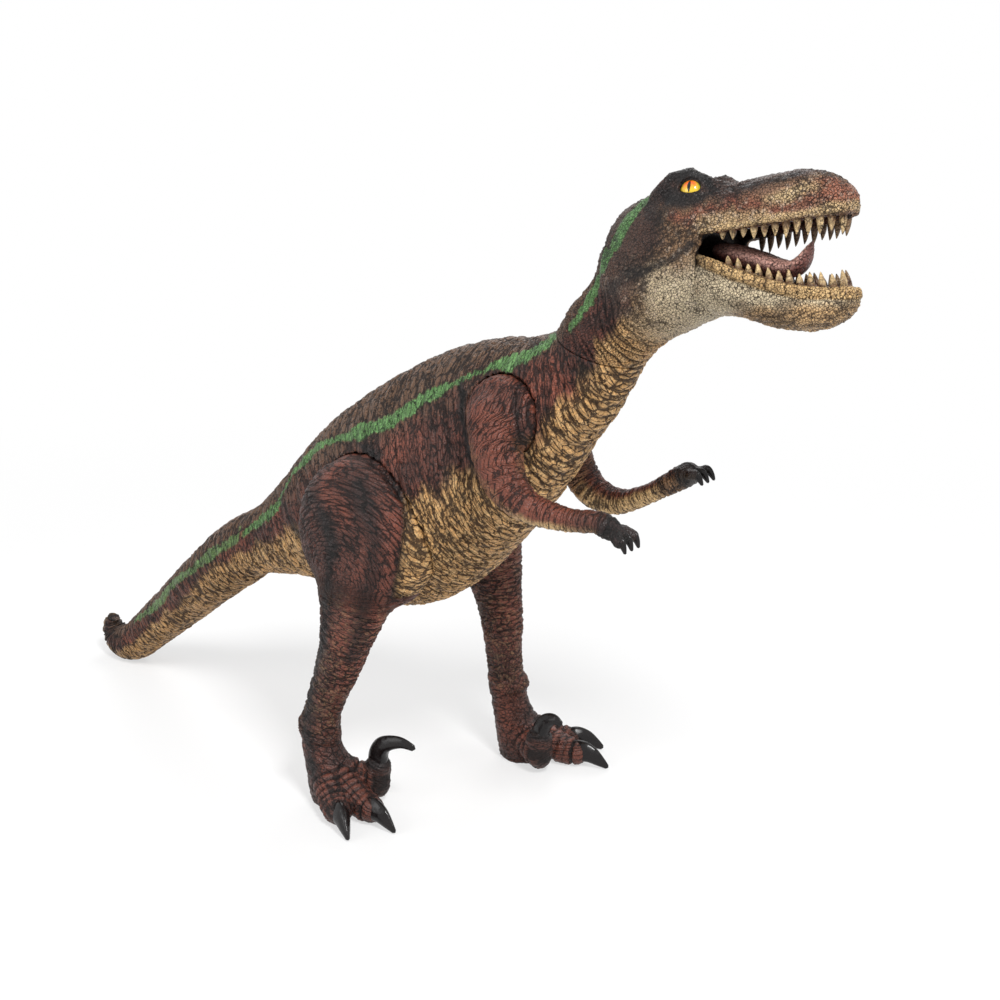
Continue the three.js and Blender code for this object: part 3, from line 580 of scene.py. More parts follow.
def painted_vinyl(name, grain, cell, gloss):
    """Vinyl under paint: colour from the mesh, darkened by its wash and by a fine grain. Hairline
    creases, too fine for the mesh, are cells of the given size in mm laid out in the skin's own
    measures, and beads smaller than a millimetre break up the gloss."""
    material, tree, shader = new_material(name)
    place, noise = grain_noise(tree, grain, 4.0)
    paint, wash, flow = (
        node(tree, "ShaderNodeAttribute", attribute_name=layer).outputs[socket]
        for layer, socket in (("paint", "Color"), ("wash", "Fac"), ("flow", "Vector"))
    )
    warp = reckoned_3d(tree, "MULTIPLY", noise.outputs["Color"], WARP)
    per_cell = tuple(1 / (size * MM) for size in cell)
    cells = reckoned_3d(tree, "MULTIPLY_ADD", flow, per_cell, warp)
    border = cells_of(tree, cells, 1.0, feature="DISTANCE_TO_EDGE")
    hairline = graded(tree, border, 0.0, HAIRLINE, 1.0, 0.0, "SMOOTHSTEP")
    beads = cells_of(tree, place, 1 / (BEAD * MM))
    grained = graded(tree, noise.outputs["Fac"], 0.3, 0.7, 0.62, 1.34)
    # Bead tops lighter and their edges darker: drybrushed paint, with painted highlight and painted shade.
    tops = graded(tree, beads, 0.1, 0.8, 1.22, 0.74)
    mottled = reckoned_3d(tree, "MULTIPLY", paint, reckoned(tree, "MULTIPLY", grained, tops))
    both = reckoned(tree, "MULTIPLY_ADD", hairline, HAIRLINE_WASH, wash)
    deep = graded(tree, both, 0.46, 0.92, 0.0, 0.96, "SMOOTHSTEP")
    sunk_paint = reckoned_3d(tree, "MULTIPLY", mottled, SUNK_PAINT)
    tree.links.new(mixed_colour(tree, deep, mottled, sunk_paint), shader.inputs["Base Color"])
    sunk = reckoned(tree, "MULTIPLY_ADD", hairline, -0.8, noise.outputs["Fac"])
    bumped(tree, shader, reckoned(tree, "MULTIPLY_ADD", beads, -0.9, sunk), 1.0, 0.4)
    dull = graded(tree, both, 0.0, 1.0, gloss - 0.05, gloss + 0.35)
    tree.links.new(dull, shader.inputs["Roughness"])
    shader.inputs["Specular IOR Level"].default_value = 0.32
    return material


creased_vinyl = painted_vinyl("creased painted vinyl", 1.1, (2.1, 9, 9), 0.27)
scaly_vinyl = painted_vinyl("scaly painted vinyl", 1.0, (1.5, 1.5, 1.5), 0.27)
print("paints:", creased_vinyl.name, "and", scaly_vinyl.name)

# %% [markdown]
# ## Putting a piece into the scene
# Blender can build a mesh face by face, but whole arrays are far quicker. Each piece gets its points,
# its faces and its layers at once, in the part's own frame, and is told which body it rides on and
# which solid it stands for.

# %% A piece
LAYER_KINDS = {"flow": ("FLOAT_VECTOR", "vector"), "paint": ("FLOAT_COLOR", "color"),
               "gaze": ("FLOAT_COLOR", "color"), "wash": ("FLOAT", "value")}


def piece(name, points, quads, body, nodes, slot, material, triangles=(), **layers):
    """Puts worked-out points and faces, in the figure's millimetres, into a mesh object in the part's
    frame, with one attribute for each layer, and says what it rides on and stands for."""
    mesh = bpy.data.meshes.new(name)
    triangles = np.asarray(triangles, int).reshape(-1, 3)
    sizes = np.concatenate([np.full(len(quads), 4), np.full(len(triangles), 3)])
    corners = np.concatenate([np.asarray(quads).ravel(), triangles.ravel()])
    mesh.vertices.add(len(points))
    mesh.vertices.foreach_set("co", ((points + SHIFT) * MM).ravel())
    mesh.loops.add(len(corners))
    mesh.loops.foreach_set("vertex_index", corners)
    mesh.polygons.add(len(sizes))
    mesh.polygons.foreach_set("loop_start", np.concatenate([[0], np.cumsum(sizes)[:-1]]))
    mesh.update(calc_edges=True)
    mesh.shade_smooth()
    for layer, values in layers.items():
        kind, field = LAYER_KINDS[layer]
        if kind == "FLOAT_VECTOR":
            values = values * MM
        elif kind == "FLOAT_COLOR":
            values = np.column_stack([np.clip(values, 0, 1), np.ones(len(values))])
        mesh.attributes.new(layer, kind, "POINT").data.foreach_set(field, np.asarray(values, float).ravel())
    mesh.materials.append(material)
    made = bpy.data.objects.new(name, mesh)
    bpy.context.scene.collection.objects.link(made)
    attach(made, body)
    if nodes:
        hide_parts(*nodes)
    print(f"{name}: {len(points)} points, {int((sizes - 2).sum())} triangles")
    return made


# %% [markdown]
# ## Creases
# The skin of trunk, tail and neck is a net of creases that run round the body and branch. They could
# be painted as a bump map, but their depth shows at the outline. Stretched cells make them: cells
# that are short along the body and long round it, each a little pillow with a groove at its border.

# %% Creased skin
def creased(q, cell, width, warp=1.6):
    """Cells of the given size, warped by clouds. Gives the groove, 1 on a border and falling evenly to
    0 at width from it, the pillow between the grooves, and the cell's tone."""
    bent = q + warp * np.stack([clouds(q + 90 * i, 14, 2) for i in range(3)], -1)
    border, tone = scales(bent, cell)
    return np.clip(1 - border / width, 0, 1), ramp(border, 0, 1.6 * width), tone


print("a crease's groove falls to nothing at its width:", np.clip(1 - np.array([0.0, 1.0]) / 1.0, 0, 1))

# %% [markdown]
# ## Trunk
# The trunk is the body line between the tail joint and the neck joint, with a round pocket for each
# haunch and shoulder to turn in, and a shallow dish round each shoulder for the upper arm. Each cut
# follows the solid part, so a limb fits its pocket at every angle. Every 25 mm a main fold runs round
# it, as on the solid part, and the creases lie between these folds.

# %% Trunk
HIP = np.array([-22.0, 33, 177])
HAUNCH_R = 49.0
HAUNCH_THICK = 33.0
SHOULDER = np.array([75.0, 0, 259])
SHOULDER_FACE = 24.0
SHOULDER_R = 24.0
SHOULDER_THICK = 19.0
ARM_FLOOR = 9.0
ARM_SWEEP_R = 41.0
DISH_FLARE = 0.6
CHEST_ROLL = np.radians(-9)
GAP = 0.3
SIDES = {"right": -1, "left": 1}


def at_shoulder(x, y, z, s):
    """Height of a point over a shoulder's joint plane, and its distance from the joint's axis."""
    out = np.array([0, s * np.cos(CHEST_ROLL), s * np.sin(CHEST_ROLL)])
    height = y * out[1] + (z - SHOULDER[2]) * out[2] - SHOULDER_FACE
    up = y * -out[2] + (z - SHOULDER[2]) * out[1]
    return height, np.hypot(x - SHOULDER[0], up * s)


FOLD_APART = 25.0
FOLD_DEPTH = 1.3
FOLD_HALF = 4.5
FOLD_ABOVE = 0.5
TRUNK_START = front_line[0, ALONG]
TRUNK_LENGTH = front_line[(NECK_ROW - TAIL_ROW) * STEPS, ALONG] - TRUNK_START


def fold_depth(along, height):
    """Depth of the main folds, which are rings every 25 mm along the trunk, each a round valley, and
    half as deep on the back as under the belly."""
    past = (along - TRUNK_START) % FOLD_APART - FOLD_APART / 2
    valley = np.clip(1 - np.abs(past) / FOLD_HALF, 0, 1) ** 1.5
    last = TRUNK_START + FOLD_APART * np.floor(TRUNK_LENGTH / FOLD_APART)
    below = (1 - np.clip(height, -1, 1)) / 2
    return FOLD_DEPTH * valley * (along < last) * (FOLD_ABOVE + (1 - FOLD_ABOVE) * below)


def trunk_form(x, y, z):
    """The body's ellipses less the folds, cut at both joint planes, less a round pocket for each
    haunch and shoulder, and less a dish round each shoulder that widens outwards."""
    row, _, up = on_body(front_line, x, y, z)
    form = body_form(front_line, x, y, z) + fold_depth(row[ALONG], up / row[HIGH])
    form = cut(form, -section_plane(front_line[(NECK_ROW - TAIL_ROW) * STEPS], x, z) - GAP / 2, 0.8)
    form = cut(form, section_plane(front_line[0], x, z) - GAP / 2, 1.6)
    hip_away = np.hypot(x - HIP[0], z - HIP[2])
    form = cut(form, np.maximum(hip_away - HAUNCH_R - GAP, HIP[1] - GAP / 2 - np.abs(y)), 1.2)
    for s in SIDES.values():
        height, away = at_shoulder(x, y, z, s)
        form = cut(form, np.maximum(away - SHOULDER_R - GAP, -GAP / 2 - height), 1.2)
        widening = DISH_FLARE * ARM_SWEEP_R / (SHOULDER_THICK - ARM_FLOOR)
        rim = ARM_SWEEP_R + np.maximum(height - ARM_FLOOR, 0) * widening
        form = cut(form, np.maximum(away - rim, ARM_FLOOR - GAP - height), 3.0)
    return form


print("trunk's length, mm:", round(TRUNK_LENGTH))


# %% Measures and marks on the body
def body_measures(line, points):
    """For each point: length along the body, offset to the side and offset up, and the relative
    height in its section, from -1 at the belly to 1 on the back."""
    row, side, up = on_body(line, *points.T)
    return np.stack([row[ALONG], side, up], -1), up / row[HIGH]


def same_side(q):
    """The measures with both flanks laid on one another, for marks that are painted on both."""
    return np.stack([q[:, 0], np.abs(q[:, 1]), q[:, 2]], -1)


def body_path(line, form, pixels):
    """A mark's path: pixels and half widths turned into the body's measures."""
    q, _ = body_measures(line, touched(pixels, form))
    return np.column_stack([same_side(q), np.asarray(pixels, float)[:, 2]])


STRIPE_ON_NECK = [(654, 188, 1.6), (648, 197, 2.6), (641, 206, 2.6), (634, 213, 3.0), (627, 221, 5.0),
                  (621, 230, 5.2), (617, 239, 5.4), (613, 247, 3.4), (606, 256, 3.2), (602, 267, 3.4),
                  (598, 278, 3.0), (594, 290, 4.0), (589, 300, 4.6), (584, 309, 3.2), (578, 318, 2.6),
                  (571, 326, 2.8)]
STRIPE_ON_TRUNK = [(574, 322, 2.6), (568, 328, 2.4), (559, 334, 2.2), (551, 341, 4.0), (542, 346, 5.2),
                   (533, 351, 4.0), (526, 355, 5.8), (519, 360, 3.4), (513, 361, 6.4), (504, 363, 5.8),
                   (495, 365, 3.4), (486, 369, 2.2), (477, 373, 1.8), (467, 377, 1.7), (457, 382, 1.8),
                   (448, 387, 2.2), (440, 391, 4.6), (432, 394, 4.8), (424, 398, 3.8), (416, 404, 5.2),
                   (408, 409, 5.0), (399, 415, 4.6), (390, 421, 5.2), (381, 425, 4.6), (372, 428, 3.4),
                   (361, 431, 6.4), (354, 433, 4.6), (346, 436, 2.6), (336, 439, 2.0), (327, 442, 2.4),
                   (319, 446, 3.2), (310, 455, 3.6), (302, 463, 3.6), (296, 470, 2.6), (290, 479, 2.2),
                   (285, 488, 2.0), (281, 497, 2.8), (277, 506, 4.0), (270, 514, 4.4), (263, 519, 4.0),
                   (256, 524, 2.6), (250, 528, 2.8), (244, 533, 3.0)]
STRIPE_ON_TAIL = [(250, 530, 3.2), (240, 536, 3.2), (229, 541, 4.0), (218, 549, 3.0), (209, 555, 4.4),
                  (199, 563, 3.6), (190, 571, 2.6), (180, 577, 3.2), (169, 587, 3.2), (162, 597, 4.0),
                  (154, 606, 3.4), (144, 614, 2.8), (134, 621, 2.4)]
print("places along the stripe:", len(STRIPE_ON_NECK) + len(STRIPE_ON_TRUNK) + len(STRIPE_ON_TAIL))

# %% Creases and paint of the body
SLANT = np.array([[-40, 0], [0, 0.1], [100, 0.2], [200, 0], [265, -0.4], [325, -0.85], [370, -1.05]])
BELLY_TOP = np.array([[-60, -0.2], [0, -0.16], [66, 0.0], [110, -0.1], [196, -0.21], [225, -0.22],
                      [246, -0.5], [300, -0.58], [330, -0.4], [420, -0.3]])


def slanted(q):
    """Creases lean: on chest and neck they hang straight down, although the body's line rises there,
    so the length is shifted in proportion to the offset up."""
    lean = np.interp(q[:, 0] - TRUNK_START, *SLANT.T)
    return q + np.array([1.0, 0, 0]) * (lean * q[:, 2])[:, None]


def greened(paint, green, tone, fleck):
    """The stripe: green, a little broken by the tone, and paler on some flecks."""
    paint = over(paint, GREEN, green * (0.85 + 0.15 * tone))
    return over(paint, GREEN_PALE, 0.6 * green * ramp(fleck, 0.4, 0.9))


def body_skin(q, height, points, out, stripe):
    """Creases, wash and paint of the body: long creases that run round it and branch, finer ones and
    small scales between them, and a ragged edge between flank and belly. Gives the moved points, the
    wash, the paint, and the measures with both flanks laid on one another."""
    belly_top = np.interp(q[:, 0] - TRUNK_START, *BELLY_TOP.T)
    hung = slanted(q)
    belly = ramp(belly_top - height + 0.16 * clouds(hung * [1, 0.4, 0.4], 9), -0.14, 0.14)
    back = ramp(height + 0.12 * clouds(q, 18), 0.35, 0.75)
    patchy = 0.55 + 0.45 * ramp(clouds(q, 16), -0.6, 0.2)
    groove, pillow, tone = creased(hung, (4.4, 34, 34), 1.7, 2.2)
    fine, _, _ = creased(hung + 40, (2.7, 12, 12), 1.15)
    pebble, bead, fleck = creased(q, (2.0, 2.6, 2.6), 0.8, 0.5)
    deep = groove * patchy
    at_joint = np.abs(q[:, :1] - TRUNK_START - [0, TRUNK_LENGTH]).min(1)
    relief = (0.5 * pillow - 0.85 * deep - 0.35 * fine + 0.16 * bead) * ramp(at_joint, 0.6, 3.5)
    wash = np.maximum(np.maximum(deep, 0.72 * fine), 0.5 * pebble)
    bright = ramp(clouds(q, 24), -0.3, 0.8)
    paint = over(coat(MAROON, points), RUST, 0.7 * bright * (1 - back) + 0.3 * tone)
    paint = over(paint, BACK_BROWN, 0.9 * back)
    paint = over(paint, OCHRE, belly)
    paint = over(paint, SAND, 0.4 * belly * ramp(fleck, 0.3, 1.0))
    # Lighter on the pillows' tops and darker towards their grooves: drybrushed paint, with painted highlight.
    paint = paint * (0.84 + 0.3 * pillow)[:, None]
    both = same_side(q)
    green = mark(both, stripe, 0.9, 1.5, 3.0)
    paint = greened(paint, green, fleck, fleck)
    return points + relief[:, None] * out, wash * (1 - 0.5 * green), paint, both


print("edge of the belly, shares of the height:", BELLY_TOP[:, 1])

# %% Trunk skin
TRUNK_STEP = 1.22
# Paths of painted shade, as pixels and half widths: creases behind and before the shoulder, at the neck and
# nape, before and behind the haunch, and over the knee.
SHOULDER_BAND = [(462, 379, 2.2), (461, 395, 3.4), (462, 412, 3.8), (464, 430, 3.4), (468, 448, 3),
                 (472, 463, 2.4), (477, 478, 1.6)]
CHEST_BAND = [(520, 372, 5), (522, 390, 6), (525, 410, 6), (527, 430, 5), (526, 455, 4)]
NECK_BAND = [(579, 326, 3), (585, 338, 5), (588, 352, 5.5), (585, 368, 5), (577, 384, 2.5)]
NAPE_BAND = [(560, 350, 2.5), (566, 365, 3.5), (568, 380, 2.5)]
HAUNCH_LINE = [(352, 440, 1.6), (366, 449, 3), (378, 458, 4), (389, 472, 4.6), (398, 490, 4.6),
               (405, 508, 3.4)]
REAR_LINE = [(283, 500, 2.4), (288, 516, 4), (297, 532, 4), (309, 546, 3.4), (318, 556, 2)]
KNEE_SHADE = [(407, 520, 3), (412, 538, 5), (417, 556, 6), (424, 574, 5)]
CHEST_BANDS = ((CHEST_BAND, 9, 0.6),)
HAUNCH_BANDS = ((HAUNCH_LINE, 6, 0.95), (KNEE_SHADE, 9, 0.5))
TRUNK_BANDS = ((SHOULDER_BAND, 5, 0.95), CHEST_BANDS[0], (NECK_BAND, 8, 0.75), (NAPE_BAND, 8, 0.5),
               HAUNCH_BANDS[0], (REAR_LINE, 7, 0.85), HAUNCH_BANDS[1])


def darkened(paint, both, line, form, bands):
    """Painted shade: near-black laid along the bands in the creases round the joints and under the jaw, each
    a path of pixels with how soft and how strong it is.
    """
    for band, soft, strength in bands:
        paint = over(paint, SOOT_AND_SHADE, strength * mark(both, body_path(line, form, band), soft, 2))
    return paint


points, quads, out = skin(trunk_form, "torso_shell", TRUNK_STEP)
flow, height = body_measures(front_line, points)
trunk_stripe = body_path(front_line, trunk_form, STRIPE_ON_TRUNK)
points, wash, paint, both = body_skin(flow, height, points, out, trunk_stripe)
paint = darkened(paint, both, front_line, trunk_form, TRUNK_BANDS)
piece("trunk_skin", points, quads, "torso", ["torso_shell"], "skin", creased_vinyl, wash=wash,
      paint=paint, flow=slanted(flow))

# %% [markdown]
# ## Tail
# Behind the tail joint the same line runs on to the tip, which curls up off the ground. The sections
# there turn within a few millimetres, so the tail is drawn as a grid instead: one measure runs along
# the line and the other round each ellipse, and both ends are closed by a fan of triangles.

# %% Tail
def wrapped(rows, sides):
    """Quads of a grid of points in rows, each row closed round on itself, with a fan at either end
    round two more points."""
    at = np.arange(rows * sides).reshape(rows, sides)
    beside = np.roll(at, -1, 1)
    quads = np.stack([at[:-1], beside[:-1], beside[1:], at[1:]], -1).reshape(-1, 4)
    first, last = rows * sides, rows * sides + 1
    start = np.column_stack([beside[0], at[0], np.full(sides, first)])
    end = np.column_stack([at[-1], beside[-1], np.full(sides, last)])
    return quads, np.vstack([start, end])


def facing_out(points, quads, triangles):
    """The faces, turned round if the mesh's volume, the sum of its pyramids to the origin, is negative."""
    both = np.vstack([quads[:, [0, 1, 2]], quads[:, [0, 2, 3]], triangles])
    a, b, c = points[both].transpose(1, 0, 2)
    if (a * np.cross(b, c)).sum() < 0:
        return quads[:, ::-1], triangles[:, ::-1]
    return quads, triangles


def turned_out(points, quads, triangles):
    """Outward direction at each point: the sum of the directions of the faces round it."""
    total = np.zeros_like(points)
    for faces in (quads, triangles):
        a, b, c = points[faces[:, 0]], points[faces[:, 1]], points[faces[:, -1]]
        flat = np.cross(b - a, c - a)
        for corner in faces.T:
            np.add.at(total, corner, flat)
    return total / np.linalg.norm(total, axis=-1, keepdims=True).clip(1e-9)


print("faces of a closed grid of two rows of three points:", sum(len(faces) for faces in wrapped(2, 3)))

# %% Tail skin
TAIL_SIDES = 132
TAIL_FINE = 7
JOINT_ROUND = 2.2
JOINT_EDGE = 0.7
along_tail = np.linspace(0, len(tail_line) - 1, (len(tail_line) - 1) * TAIL_FINE + 1)
before = np.minimum(along_tail.astype(int), len(tail_line) - 2)
share = (along_tail - before)[:, None]
rows = tail_line[before] * (1 - share) + tail_line[before + 1] * share
joint_row = rows[-1:].copy()
joint_row[:, [HIGH, WIDE]] -= JOINT_ROUND
rows = np.vstack([rows[:-4], rows[-1:], joint_row])
rows[-2, [HIGH, WIDE]] -= JOINT_EDGE
lean = np.radians(rows[:, LEAN, None])
around = np.linspace(0, 2 * np.pi, TAIL_SIDES, endpoint=False)
side = rows[:, WIDE, None] * np.cos(around)
up = rows[:, HIGH, None] * np.sin(around)
points = np.stack([rows[:, X, None] + up * np.cos(lean), rows[:, Y, None] + side,
                   rows[:, Z, None] + up * np.sin(lean)], -1)
ends = np.stack([points[0].mean(0) - [3, 0, 0], points[-1].mean(0)])
points = np.vstack([points.reshape(-1, 3), ends])
quads, triangles = facing_out(points, *wrapped(len(rows), TAIL_SIDES))
out = turned_out(points, quads, triangles)
out[-2 - 2 * TAIL_SIDES :] = 0
print("rings of the tail:", len(rows))

# %% Tail paint
round_tail = np.column_stack([tail_line[:, :3], tail_line[:, [HIGH, WIDE]].mean(1)])


def tail_form(x, y, z):
    """Distance to the tail as a round form, which is near enough for the lines of sight."""
    return tube(x, y, z, round_tail)


def tail_path(pixels):
    """A mark's path on the tail: where the lines of sight touch it, in length along and offsets."""
    at = touched(pixels, tail_form)
    _, along = along_tube(at, round_tail)
    row = np.stack([np.interp(along, tail_line[:, ALONG], tail_line[:, k]) for k in (X, Y, Z, LEAN)])
    lean = np.radians(row[3])
    up = (at[:, 0] - row[0]) * np.cos(lean) + (at[:, 2] - row[2]) * np.sin(lean)
    return np.column_stack([along, np.abs(at[:, 1] - row[1]), up, np.array(pixels)[:, 2]])


flow = np.stack([np.broadcast_to(rows[:, ALONG, None], side.shape), side, up], -1).reshape(-1, 3)
flow = np.vstack([flow, [0, 0, 0], [rows[-1, ALONG], 0, 0]])
height = np.append(np.tile(np.sin(around), len(rows)), [0, 0])
stripe = tail_path(STRIPE_ON_TAIL)
points, wash, paint, both = body_skin(flow, height, points, out, stripe)
points[:, 2] = np.maximum(points[:, 2], 0)
paint = over(paint, tint(96, 62, 40), 0.22)
tip = ramp(both[:, 0], 46, 22)
paint = over(paint, SOOT_AND_SHADE, 0.55 * tip)
piece("tail_skin", points, quads, "tail", ["tail_shell"], "skin", creased_vinyl, triangles, wash=wash,
      paint=paint, flow=flow)

# %% [markdown]
# ## Head and neck
# The skull and the snout are upright sections along the snout, rounded squares rather than ellipses,
# blended with the neck. Brow ridges, lip rolls and the fold behind the mouth are round forms laid on
# them, and the mouth is a hollow cut into them, deep at the throat and shallow under the lips.

# %% Head forms
HEAD_AT = np.array([150.0, 0, 350])
HEAD_TURN = np.array(Euler(np.radians([-11, -12, 0])).to_matrix())
MOUTH_CORNER = 44.0
SKULL_ROWS = through([[-21, 17, -2, 8], [-15, 28, -16, 18], [-2, 36.5, -28, 25], [14, 40, -31, 28],
                      [30, 43.5, -29, 28], [46, 41, -28, 26]])
SNOUT_ROWS = through([[30, 43.5, -2, 27], [44, 41, 4, 26], [56, 37, 8, 24], [72, 38, 9, 21.5],
                      [86, 39.5, 10, 19.5], [100, 39, 11.5, 17.5], [110, 36, 12.5, 14.5],
                      [118, 30.5, 13.5, 11], [123, 24, 15.5, 5]])
JAW_ROWS = through([[36, 8, -28, 25], [50, 3, -29, 23.5], [62, -3, -32, 22], [76, -10, -37.5, 20],
                    [90, -15.5, -40.5, 18], [102, -19, -40.5, 16], [112, -20.5, -37.5, 12.5],
                    [118, -21.5, -33.5, 9], [122, -23, -30, 4]])


def in_head(x, y, z):
    """A point in the head's own frame: x along the snout, y to its left, z up."""
    away = (x - HEAD_AT[0], y - HEAD_AT[1], z - HEAD_AT[2])
    return [sum(HEAD_TURN[k, axis] * away[k] for k in range(3)) for axis in range(3)]


def from_head(p):
    """Points of the head's frame, turned and moved back into the figure's."""
    return np.asarray(p, float) @ HEAD_TURN.T + HEAD_AT


def upper_lip(x):
    """Height of the upper lip's line, which rises a little towards the front."""
    return 10.8 + 0.045 * (x - MOUTH_CORNER)


def lower_lip(x):
    """Height of the lower lip's line, which falls by a quarter of a sine to 20 mm lower."""
    return -0.5 - 20 * np.sin(np.pi / 2 * np.minimum((x - 52) / 64, 1))


def half_at(rows, x):
    """Half width at x, in a straight line from one row to the next."""
    return np.interp(x, rows[:, 0], rows[:, 3])


def blunt(x, end, power=10, least=0.02):
    """Share of the width that is left at x: 1, closing in a round arch towards the end."""
    return np.sqrt(np.clip(1 - (x / end) ** power, least, 1))


def upright(rows, x, y, z, square):
    """Distance to rounded sections along the snout, with the ends rounded off."""
    top, bottom, half = (np.interp(x, rows[:, 0], rows[:, k]) for k in (1, 2, 3))
    middle = (top + bottom) / 2
    high = np.maximum((top - bottom) / 2, 1)
    share = (np.abs(y / half) ** square + np.abs((z - middle) / high) ** square) ** (1 / square)
    reach = np.hypot(y, z - middle)
    ends = np.maximum(rows[0, 0] - x, x - rows[-1, 0])
    return cut(reach - reach / np.maximum(share, 1e-6), -ends, 4)


def mouth_form(x, y, z):
    """The hollow of the mouth: a recess under the upper lips, and the throat behind it."""
    side = np.abs(y) - half_at(SNOUT_ROWS, x) * blunt(x, 122, 8) + 4.2
    roof = z - upper_lip(x) - 5.5
    recess = np.maximum.reduce([side, roof, x - 115, MOUTH_CORNER - x, -12 - z + 0 * x])
    throat = (np.sqrt(((x - 46) / 26) ** 2 + (y / 17) ** 2 + ((z - 2) / 11) ** 2) - 1) * 11
    return join(recess, throat, 3)


print("mouth corner to snout tip, mm:", SNOUT_ROWS[-1, 0] - MOUTH_CORNER)

# %% Eye, brow and nostril
BROW = np.array([[18, 16, 35, 4], [29, 17, 41, 5.2], [39, 16.5, 42, 5], [48, 14.5, 37.5, 4.4],
                 [58, 11.5, 33.5, 3.4], [72, 9.5, 33.5, 3]], float)
CHEEK_FOLD = np.array([[45, 23, 8, 2.6], [39, 24.5, 2, 3.2], [30, 25.5, -5, 3.2], [20, 26, -11, 3],
                       [10, 25.5, -16, 2.4]], float)
EYE = np.array([41.0, 17.5, 34])
EYE_R = 6.6
SOCKET_R = 8.2
OPENING = (5.9, 4.4)
LOOK = np.array([0.2, 0.86, 0.42])
LOOK /= np.linalg.norm(LOOK)
EYE_AHEAD = np.cross(LOOK, [0, 0, 1.0])
EYE_AHEAD /= np.linalg.norm(EYE_AHEAD)
EYE_UP = np.cross(EYE_AHEAD, LOOK)
EYE_AHEAD, EYE_UP = EYE_AHEAD * np.sign(EYE_AHEAD[0]), EYE_UP * np.sign(EYE_UP[2])
NOSTRIL = np.array([113.0, 12.5, 29])
NOSTRIL_R = 1.5
NOSTRIL_LONG = 1.5
SKULL_SQUARE = 2.2
SNOUT_SQUARE = 2.5
JAW_SQUARE = 2.3


def in_gaze(x, y, z):
    """Offsets of a point of the head from the eye's middle: ahead, up, and out along the gaze."""
    away = (x - EYE[0], y - EYE[1], z - EYE[2])
    return [sum(axis[k] * away[k] for k in range(3)) for axis in (EYE_AHEAD, EYE_UP, LOOK)]


def to_place(x, y, z, place):
    """Distance of points to one place."""
    return np.sqrt((x - place[0]) ** 2 + (y - place[1]) ** 2 + (z - place[2]) ** 2)


print("gaze of the left eye:", LOOK.round(2))


# %% Skull and jaw
def skull_form(x, y, z):
    """Neck, skull and snout blended, each cut off where the next one takes over."""
    neck = body_form(front_line, x, y, z)
    neck = cut(neck, -section_plane(front_line[-1], x, z), 8)
    hx, hy, hz = in_head(x, y, z)
    skull = upright(SKULL_ROWS, hx, hy, hz, SKULL_SQUARE)
    skull = cut(skull, np.maximum(MOUTH_CORNER - hx, hz - 6), 2)
    snout = upright(SNOUT_ROWS, hx, hy, hz, SNOUT_SQUARE)
    snout = cut(snout, np.maximum(hz - upper_lip(hx), MOUTH_CORNER - hx), 1.5)
    return join(join(neck, skull, 14), snout, 5)


def head_form(x, y, z):
    """The skull with brows, eye sockets, lip rolls and cheek folds laid on, and the mouth, nostrils,
    eye openings and the neck's joint plane cut."""
    form = skull_form(x, y, z)
    hx, hy, hz = in_head(x, y, z)
    away = np.abs(hy)
    form = join(form, tube(hx, away, hz, BROW), 4)
    form = join(form, to_place(hx, away, hz, EYE) - SOCKET_R, 3)
    lip_x = np.linspace(MOUTH_CORNER, 119, 14)
    lip_y = (half_at(SNOUT_ROWS, lip_x) - 1.6) * blunt(lip_x, 123, least=0.05)
    lip = np.column_stack([lip_x, lip_y, upper_lip(lip_x) + 2.4, np.full(14, 2.5)])
    form = join(form, tube(hx, away, hz, lip), 2.5)
    form = cut(form, mouth_form(hx, hy, hz), 1.6)
    pit_x = NOSTRIL[0] + (hx - NOSTRIL[0]) / NOSTRIL_LONG
    form = cut(form, to_place(pit_x, away, hz, NOSTRIL) - NOSTRIL_R, 1.2)
    ahead, up, out = in_gaze(hx, away, hz)
    long, tall = OPENING
    opening = (np.hypot(ahead / long, (up + 0.07 * ahead) / tall) - 1) * tall
    form = cut(form, np.maximum(opening, -out), 0.8)
    form = join(form, tube(hx, away, hz, CHEEK_FOLD), 3)
    return cut(form, section_plane(front_line[(NECK_ROW - TAIL_ROW) * STEPS], x, z) - GAP / 2, 0.8)


def jaw_form(x, y, z):
    """The lower jaw: its sections cut off along the lip's line, with a roll for the lip and a trough
    inside it for gums and tongue."""
    hx, hy, hz = in_head(x, y, z)
    away = np.abs(hy)
    lip = lower_lip(hx)
    half = half_at(JAW_ROWS, hx) * blunt(hx, 124)
    form = upright(JAW_ROWS, hx, hy, hz, JAW_SQUARE)
    form = cut(form, lip - hz, 1.5)
    lip_x = np.linspace(MOUTH_CORNER - 2, 118, 20)
    lip_y = (half_at(JAW_ROWS, lip_x) - 2.4) * blunt(lip_x, 122, least=0.05)
    thick = np.interp(lip_x, [MOUTH_CORNER, MOUTH_CORNER + 14], [1.2, 3.1])
    roll_y = lip_y - 0.08 * np.maximum(58 - lip_x, 0)
    roll = np.column_stack([lip_x, roll_y, lower_lip(lip_x) - 2.9, thick])
    form = join(form, tube(hx, away, hz, roll), 2)
    trough = np.maximum.reduce([away - half + 4.6, lip - 5.5 - hz, hx - 114, 40 - hx])
    form = cut(form, trough, 1.5)
    return cut(form, hx - MOUTH_CORNER + 2, 3.5)


print("lips at the mouth corner, mm:", round(upper_lip(MOUTH_CORNER) - lower_lip(MOUTH_CORNER), 1))

# %% [markdown]
# ## The head's skin and paint
# Small round scales cover the skull and jaw, and the neck has the body's creases. The marks are put on
# as an airbrush would: soot round the eye and on the snout, rust along it, sand on lips and jaw. Each
# is a few pixels of the photograph with a width, laid on both sides of the head.

